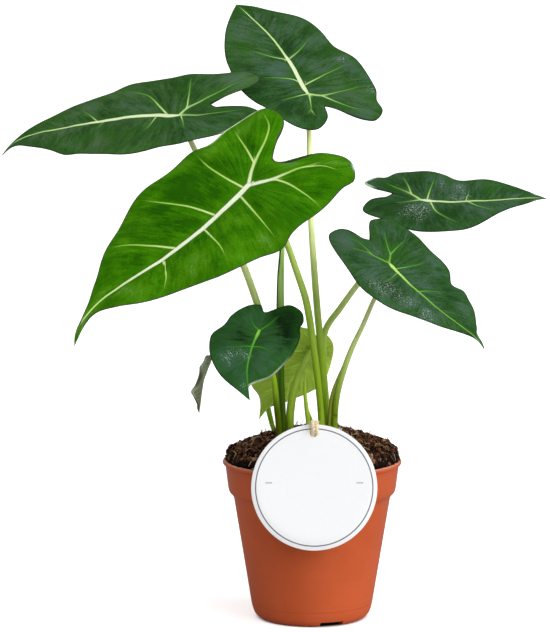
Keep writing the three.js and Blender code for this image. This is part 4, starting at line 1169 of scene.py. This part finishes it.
def drain_cutters():
    sides = DRAIN_SIDES
    low, high = turned_rings([(DRAIN_RADIUS, -1.5 * FLOOR_HEIGHT), (DRAIN_RADIUS, 1.5 * FLOOR_HEIGHT)],
                             circle(sides))
    faces = [(i, (i + 1) % sides, sides + (i + 1) % sides, sides + i) for i in range(sides)]
    faces += [tuple(range(sides - 1, -1, -1)), tuple(range(sides, 2 * sides))]
    return [
        cutter(f"drain_{i}", np.concatenate([low, high]), faces, DRAIN_CIRCLE, NOTCH_TURN + 360 * i / DRAINS)
        for i in range(DRAINS)
    ]


def cut(piece, tools):
    """Cuts these bodies out of a piece and removes them."""
    for tool in tools:
        modifier = piece.modifiers.new("cut", "BOOLEAN")
        modifier.operation = "DIFFERENCE"
        modifier.solver = "EXACT"
        modifier.object = tool
    bpy.context.view_layer.update()
    evaluated = piece.evaluated_get(bpy.context.evaluated_depsgraph_get())
    mesh = bpy.data.meshes.new_from_object(evaluated)
    piece.modifiers.clear()
    piece.data = mesh
    for tool in tools:
        bpy.data.objects.remove(tool)


def pot_piece():
    outside = [
        (PAD_RADIUS, 0), (PAD_RADIUS + 1.5, RECESS_HEIGHT), (RECESS_RADIUS, RECESS_HEIGHT),
        (RECESS_RADIUS + 1.5, 0), (FOOT_RADIUS, 0), (FOOT_RADIUS + 2.8, 1), (FOOT_RADIUS + 5, 3.6),
        (FOOT_RADIUS + 6.4, 7.5), (FOOT_RADIUS + 7.2, 12), (BODY_TOP_RADIUS, BODY_TOP_HEIGHT),
        (BODY_TOP_RADIUS + 1.1, 83.6), (COLLAR_FOOT_RADIUS - 0.8, 85.2),
        (COLLAR_FOOT_RADIUS, COLLAR_FOOT_HEIGHT), (COLLAR_TOP_RADIUS, POT_HEIGHT - LIP_HEIGHT),
    ]
    lip = [
        (RIM_RADIUS - 0.7, POT_HEIGHT - 3), (RIM_RADIUS, POT_HEIGHT - 1.7),
        (RIM_RADIUS - 0.6, POT_HEIGHT - 0.4), (RIM_RADIUS - 2, POT_HEIGHT),
        (RIM_RADIUS - 3.4, POT_HEIGHT - 0.6),
    ]
    inside = [
        (COLLAR_TOP_RADIUS - WALL - 0.1, POT_HEIGHT - 2.6),
        (COLLAR_FOOT_RADIUS - WALL, COLLAR_FOOT_HEIGHT + 0.5),
        (BODY_TOP_RADIUS - WALL + 0.1, 84), (BODY_TOP_RADIUS - WALL, BODY_TOP_HEIGHT),
        (FOOT_RADIUS + 5.2, 9.8), (FOOT_RADIUS + 3.8, 7), (FOOT_RADIUS + 2.2, FLOOR_HEIGHT),
    ]
    profile = rounded([(0, 0), *outside, *lip, *inside, (0, FLOOR_HEIGHT)], 1.6)
    rings = turned_rings(profile[1:-1], circle(POT_SEGMENTS))
    points, faces = closed_body(rings, profile[0][1], profile[-1][1], flip=True)
    piece = new_object("nursery_pot", points, faces, pot_material())
    cut(piece, notch_cutters() + drain_cutters())
    mark_sharp(piece, 40)
    dress(piece, "pot")


# The soil

def mound(x, y):
    """Height of the soil's surface: domed, a little higher at the right and heaped up at the left edge."""
    heap = LEFT_HEAP * (np.maximum(0, -x) / RIM_RADIUS) ** 6
    rise = EDGE_RISE + MOUND_HEIGHT * (1 - (x * x + y * y) / RIM_RADIUS**2)
    return POT_HEIGHT + rise + SOIL_LEAN * x / RIM_RADIUS + heap


def heaped(x, y):
    """Height that loose crumbs lie at: on the mound, or fallen from its edge onto the pot's lip."""
    fallen = smoothstep(SOIL_RADIUS - 1, LIP_EDGE, math.hypot(x, y))
    return float((1 - fallen) * mound(x, y) + fallen * (POT_HEIGHT + 0.3))


class Heap:
    """Points, faces and tones of many small bodies, joined in one mesh."""

    def __init__(self):
        self.points = []
        self.faces = []
        self.tones = []
        self.count = 0

    def add(self, points, faces, tone=0.0):
        points = np.reshape(points, (-1, 3))
        self.points.append(points)
        self.faces += [[int(p) + self.count for p in f] for f in faces]
        self.tones.append(np.full(len(points), tone))
        self.count += len(points)

    def add_thread(self, line, steps=1, tone=0.0):
        """A thin thread through [x, y, z, radius] points."""
        grid, _, _ = tube(line, sides=3, steps=steps)
        self.add(grid, tube_faces(len(grid), 3), tone)


def ball(levels):
    """Points and faces of a round ball of triangles."""
    shape = bmesh.new()
    bmesh.ops.create_icosphere(shape, subdivisions=levels, radius=1)
    points = np.array([v.co for v in shape.verts])
    faces = [[v.index for v in f.verts] for f in shape.faces]
    shape.free()
    return points, faces


def soil_ground(heap):
    """The mound itself: a rough disc over a closed plain body."""
    turn = circle(SOIL_SPOKES)
    top = turned_rings([(r, 0) for r in np.linspace(0, SOIL_RADIUS, SOIL_RINGS + 1)[1:]], turn)
    top[..., 2] = mound(top[..., 0], top[..., 1])
    for point in top.reshape(-1, 3):
        spot = Vector((point[0], point[1], 0))
        point[2] += 1.6 * noise.noise(spot * 0.16) + 0.9 * noise.noise(spot * 0.5) - 0.6
    top[-1, :, 2] -= 0.8
    wall = [
        (RIM_RADIUS - 2.4, POT_HEIGHT + 0.7), (RIM_RADIUS - 3.8, POT_HEIGHT + 0.4),
        (COLLAR_TOP_RADIUS - WALL - 0.9, POT_HEIGHT - 0.8),
        (COLLAR_TOP_RADIUS - WALL - 0.5, POT_HEIGHT - 3.2),
        (COLLAR_FOOT_RADIUS - WALL - 0.35, COLLAR_FOOT_HEIGHT + 0.8),
        (BODY_TOP_RADIUS - WALL - 0.3, 84.3),
        (BODY_TOP_RADIUS - WALL - 0.4, BODY_TOP_HEIGHT + 0.4), (FOOT_RADIUS + 4.9, 10.1),
        (FOOT_RADIUS + 3.5, FLOOR_HEIGHT + 1.2), (FOOT_RADIUS + 2, FLOOR_HEIGHT + 0.3),
    ]
    grid = np.concatenate([top, turned_rings(wall, turn)])
    heap.add(*closed_body(grid, mound(0, 0), FLOOR_HEIGHT + 0.3))


def soil_crumbs(heap, draw):
    """Crumbs of peat and coir, sunk a little into the mound, and some on the pot's lip."""
    shapes = {1: ball(1), 2: ball(2)}
    for i in range(CRUMBS + EDGE_CRUMBS):
        size = 0.45 + 1.5 * draw.random() ** 2.6
        if i % 80 == 0:
            size = draw.uniform(1.7, 2.5)
        away = (SOIL_RADIUS - 0.4 * size) * math.sqrt(draw.random())
        if i >= CRUMBS:
            size = min(size, 2.2)
            away = draw.uniform(53, LIP_EDGE - 0.9 * size)
        turn = 2 * math.pi * draw.random()
        x, y = away * math.cos(turn), away * math.sin(turn)
        points, faces = shapes[2 if size > 1.25 else 1]
        lumps = [1 + 0.55 * noise.noise(Vector(p) * 1.9 + Vector((i, 0, 0))) for p in points]
        points = points * np.array(lumps)[:, None]
        points = points * (draw.uniform(0.8, 1.6), draw.uniform(0.6, 1.1), draw.uniform(0.4, 0.9)) * size
        turned = Euler([draw.uniform(0, 6.28) for _ in range(3)]).to_matrix()
        points = points @ np.array(turned).T
        z = heaped(x, y) - 0.5 + draw.uniform(0.0, 0.8) * size
        tone = draw.choice((0.0, 0.0, 0.05, 0.1, 0.2, 0.35, 0.5, 0.7)) + draw.uniform(-0.08, 0.08)
        tone += 0.35 * noise.noise(Vector((x, y, 0)) * 0.12)
        heap.add(points + (x, y, z), faces, tone)


def soil_fibres(heap, draw):
    """Thin bent coir fibres that lie on the mound, and a few that rise from it."""
    for i in range(FIBRES):
        away = (SOIL_RADIUS - 1) * math.sqrt(draw.random())
        turn = 2 * math.pi * draw.random()
        x, y = away * math.cos(turn), away * math.sin(turn)
        length = draw.uniform(3, 11)
        heading = 2 * math.pi * draw.random()
        bend = draw.uniform(-1.6, 1.6)
        rise = draw.uniform(4, 6) if i % 45 == 0 else draw.uniform(0.2, 2.4)
        radius = draw.uniform(0.14, 0.36)
        line = []
        for k in range(7):
            t = k / 6
            angle = heading + bend * (t - 0.5)
            x += length / 6 * math.cos(angle)
            y += length / 6 * math.sin(angle)
            if math.hypot(x, y) > LIP_EDGE - 1:
                break
            z = heaped(x, y) + 0.3 + rise * math.sin(math.pi * t)
            line.append((x, y, z, radius * (1 - 0.5 * t)))
        if len(line) > 3:
            heap.add_thread(line, tone=draw.choice((0.1, 0.3, 0.5, 0.65, 0.75, 1.0)))


def soil_piece():
    draw = random.Random(SOIL_SEED)
    heap = Heap()
    soil_ground(heap)
    soil_crumbs(heap, draw)
    soil_fibres(heap, draw)
    piece = new_object("peat", np.concatenate(heap.points), heap.faces, soil_material())
    set_attribute(piece, "tone", np.concatenate(heap.tones))
    dress(piece, "soil")


# The tag and its twine

def on_card(across, up, out):
    """A point given on the card, in the plant's frame."""
    tilt = math.radians(90 - TAG_TILT)
    across, up, out = np.broadcast_arrays(across, up, out)
    turned = np.stack([across, up * math.cos(tilt) - out * math.sin(tilt),
                       up * math.sin(tilt) + out * math.cos(tilt)], axis=-1)
    return turned + TAG_CENTRE


def tag_piece():
    """The round card, with softly rounded edges and a hole near its top."""
    half = TAG_THICKNESS / 2
    turn = circle(TAG_SIDES)
    ring = np.stack([np.cos(turn), np.sin(turn)])
    hole = np.array(TAG_HOLE)[:, None] + TAG_HOLE_RADIUS * ring
    reach = TAG_RADIUS - 0.15
    flat = [(1 - share) * hole + share * reach * ring for share in np.linspace(0, 1, 9)]
    rings = [(spots, half) for spots in flat]
    for more, level in ((0.12, 0.8), (0.15, 0.0), (0.12, -0.8), (0.0, -1.0)):
        rings.append(((reach + more) * ring, level * half))
    rings += [(spots, -half) for spots in flat[-2::-1]]
    points = [on_card(*spots, level) for spots, level in rings]
    faces = ring_faces(len(rings), TAG_SIDES, loop=True)
    piece = new_object("round_card", points, faces, card_material())
    local = [np.stack([*spots, np.full(TAG_SIDES, level > 0.5 * half)], axis=-1) for spots, level in rings]
    set_attribute(piece, "on_card", np.reshape(local, (-1, 3)))
    mark_sharp(piece, 50)
    dress(piece, "tag")


def twine_route():
    """The loop of twine: over the card's top edge in two strands, through its hole, and round the
    right-hand clump of stems."""
    over_edge = [(40.6, -2.3), (42.4, -0.5), (42.3, 1), (40.6, 1.95), (38.2, 2.1), (35.3, 0), (32.9, -3)]
    round_the_stems = [
        (4, -46, 134), (9, -27, 129.5), (15.3, -11, 127.3), (18.4, -0.5, 126.3), (16.6, 9.6, 126),
        (10.5, 13.8, 126.3), (4, 8.5, 126.6), (2.2, -2.5, 127), (1.6, -14, 127.8), (0.4, -30, 130.5),
        (-0.4, -47, 134.5),
    ]
    route = [on_card(-0.9, up, out) for up, out in over_edge]
    route += [on_card(-1.6, 30.6, -5), on_card(0.3, 29.6, -6), on_card(2.2, 30.6, -5)]
    route += [on_card(1.5, up, out) for up, out in reversed(over_edge)]
    return np.array([*route, *round_the_stems], float)


def twine_piece():
    """Two plies twisted together all round the loop, with loose hairs."""
    draw = random.Random(TWINE_SEED)
    coarse, _ = smooth_curve(twine_route(), closed=True, steps=40)
    coarse = np.concatenate([coarse, coarse[:1]])
    length = np.linalg.norm(np.diff(coarse, axis=0), axis=1).sum()
    count = int(length / TWINE_STEP)
    line = point_at(coarse, along_shares(coarse), np.arange(count) / count)
    normals, binormals = carried_frames(line)
    heap = Heap()
    for ply in (0, 1):
        turn = circle(count) * round(length / TWIST_LENGTH) + math.pi * ply
        centre = rings_round(line, 0.5 * TWINE_RADIUS, turn[:, None])[:, 0]
        swell = 0.58 * TWINE_RADIUS * (1 + 0.12 * np.sin(np.arange(count) * 1.3))
        heap.add(rings_round(centre, swell[:, None, None], circle(PLY_SIDES)),
                 ring_faces(count, PLY_SIDES, loop=True, flip=True))
    for _ in range(FINE_HAIRS):
        i = draw.randrange(count)
        angle = draw.uniform(0, 6.28)
        side = math.cos(angle) * normals[i] + math.sin(angle) * binormals[i]
        start = line[i] + 0.9 * TWINE_RADIUS * side
        drift = np.array([draw.uniform(-1, 1) for _ in range(3)])
        hair = []
        for t in (0, 0.4, 0.8, 1.2):
            hair.append((*(start + t * draw.uniform(0.5, 1.6) * side + t * t * drift), 0.05))
        heap.add_thread(hair, steps=2)
    for across, up in STRAY_HAIRS:
        hair = []
        for t in (0, 0.35, 0.7, 1):
            height = 39.5 + t * (up - 39.5) + 1.2 * math.sin(math.pi * t)
            hair.append((*on_card(-1.6 + t * (across + 1.6), height, 2.0), 0.14))
        heap.add_thread(hair, steps=3)
    piece = new_object("jute_loop", np.concatenate(heap.points), heap.faces, twine_material())
    dress(piece, "tag_twine")


# The floor, the light and the camera

def add_light(name, towards, strength, angle):
    """A soft lamp far away in this direction. Strength 1 lights a white sheet that faces it to 1."""
    light = bpy.data.lights.new(name, "SUN")
    light.energy = math.pi * strength
    light.angle = math.radians(angle)
    lamp = link(name, light)
    lamp.location = Vector(towards)
    lamp.rotation_euler = Vector(towards).to_track_quat("Z", "Y").to_euler()


def camera_or_other(tree, to_camera, to_other):
    """A number that differs between what the camera sees and what lights the plant."""
    rays = tree.nodes.new("ShaderNodeLightPath")
    number = tree.nodes.new("ShaderNodeMapRange")
    number.inputs["To Min"].default_value = to_other
    number.inputs["To Max"].default_value = to_camera
    tree.links.new(rays.outputs["Is Camera Ray"], number.inputs["Value"])
    return number.outputs[0]


def add_floor():
    """A wide pale floor, with painted shade under the pot, so that the notch in its foot looks black."""
    paint = Paint("pale_floor")
    away = paint.node("VectorMath", {0: paint.place()}, "Value", operation="LENGTH")
    # Painted shade: the floor is almost black under the pot, for camera rays and for light alike
    grey = Value(paint, camera_or_other(paint.tree, 0.95, FLOOR_BOUNCE)) * paint.ramp(away, *PAINTED_SHADE_UNDER_POT, 0.02)
    glow = Value(paint, camera_or_other(paint.tree, FLOOR_GLOW, 0.0)) * paint.ramp(away, *GLOW_FROM)
    paint.finish(grey, 1.0, Specular_IOR_Level=0.0, Emission_Color=(1, 1, 1, 1), Emission_Strength=glow)
    corners = [(x * FLOOR_REACH, y * FLOOR_REACH, 0) for x, y in ((-1, -1), (1, -1), (1, 1), (-1, 1))]
    floor = link("floor", new_mesh("floor", corners, [(0, 1, 2, 3)]))
    floor.data.materials.append(paint.material)


def add_surround():
    """A white surround, dimmer for the plant than for the camera."""
    world = bpy.data.worlds.new("studio")
    bpy.context.scene.world = world
    world.use_nodes = True
    background = world.node_tree.nodes["Background"]
    background.inputs["Color"].default_value = (1, 1, 1, 1)
    brightness = camera_or_other(world.node_tree, 1.0, SURROUND)
    world.node_tree.links.new(brightness, background.inputs["Strength"])


def add_camera():
    camera = bpy.data.cameras.new("camera")
    camera.lens = CAMERA_LENS
    camera.sensor_width = SENSOR_WIDTH
    camera.clip_end = CAMERA_REACH
    holder = link("camera", camera)
    holder.location = Vector(CAMERA_PLACE) * MM
    holder.rotation_euler = (math.radians(90 - CAMERA_PITCH), 0, 0)
    bpy.context.scene.camera = holder


add_camera()
add_floor()
add_surround()
for name, light in LIGHTS.items():
    add_light(name, *light)

leaf_materials = {name: leaf_material(name) for name in LOOKS}
green_stalk = stalk_material()
for leaf in LEAVES:
    name = leaf["name"]
    blade_piece(leaf, leaf_materials[leaf["look"]])
    stalk_piece("petiole_" + name, stalk_points(leaf), green_stalk, "stalk_" + name,
                leaf["stem"], sheath=SHEATHS.get(name))
stalk_piece("rolled_spear", SPEAR, spear_material(), "spear_leaf", shape=rolled,
            seam=rolled_seam)
stalk_piece("new_shoot", SHOOT, green_stalk, "young_shoot", (0.05, 0.65, 0.8),
            sheath=SHEATHS["shoot"])
pot_piece()
soil_piece()
tag_piece()
twine_piece()

bpy.context.scene.view_settings.view_transform = "Standard"
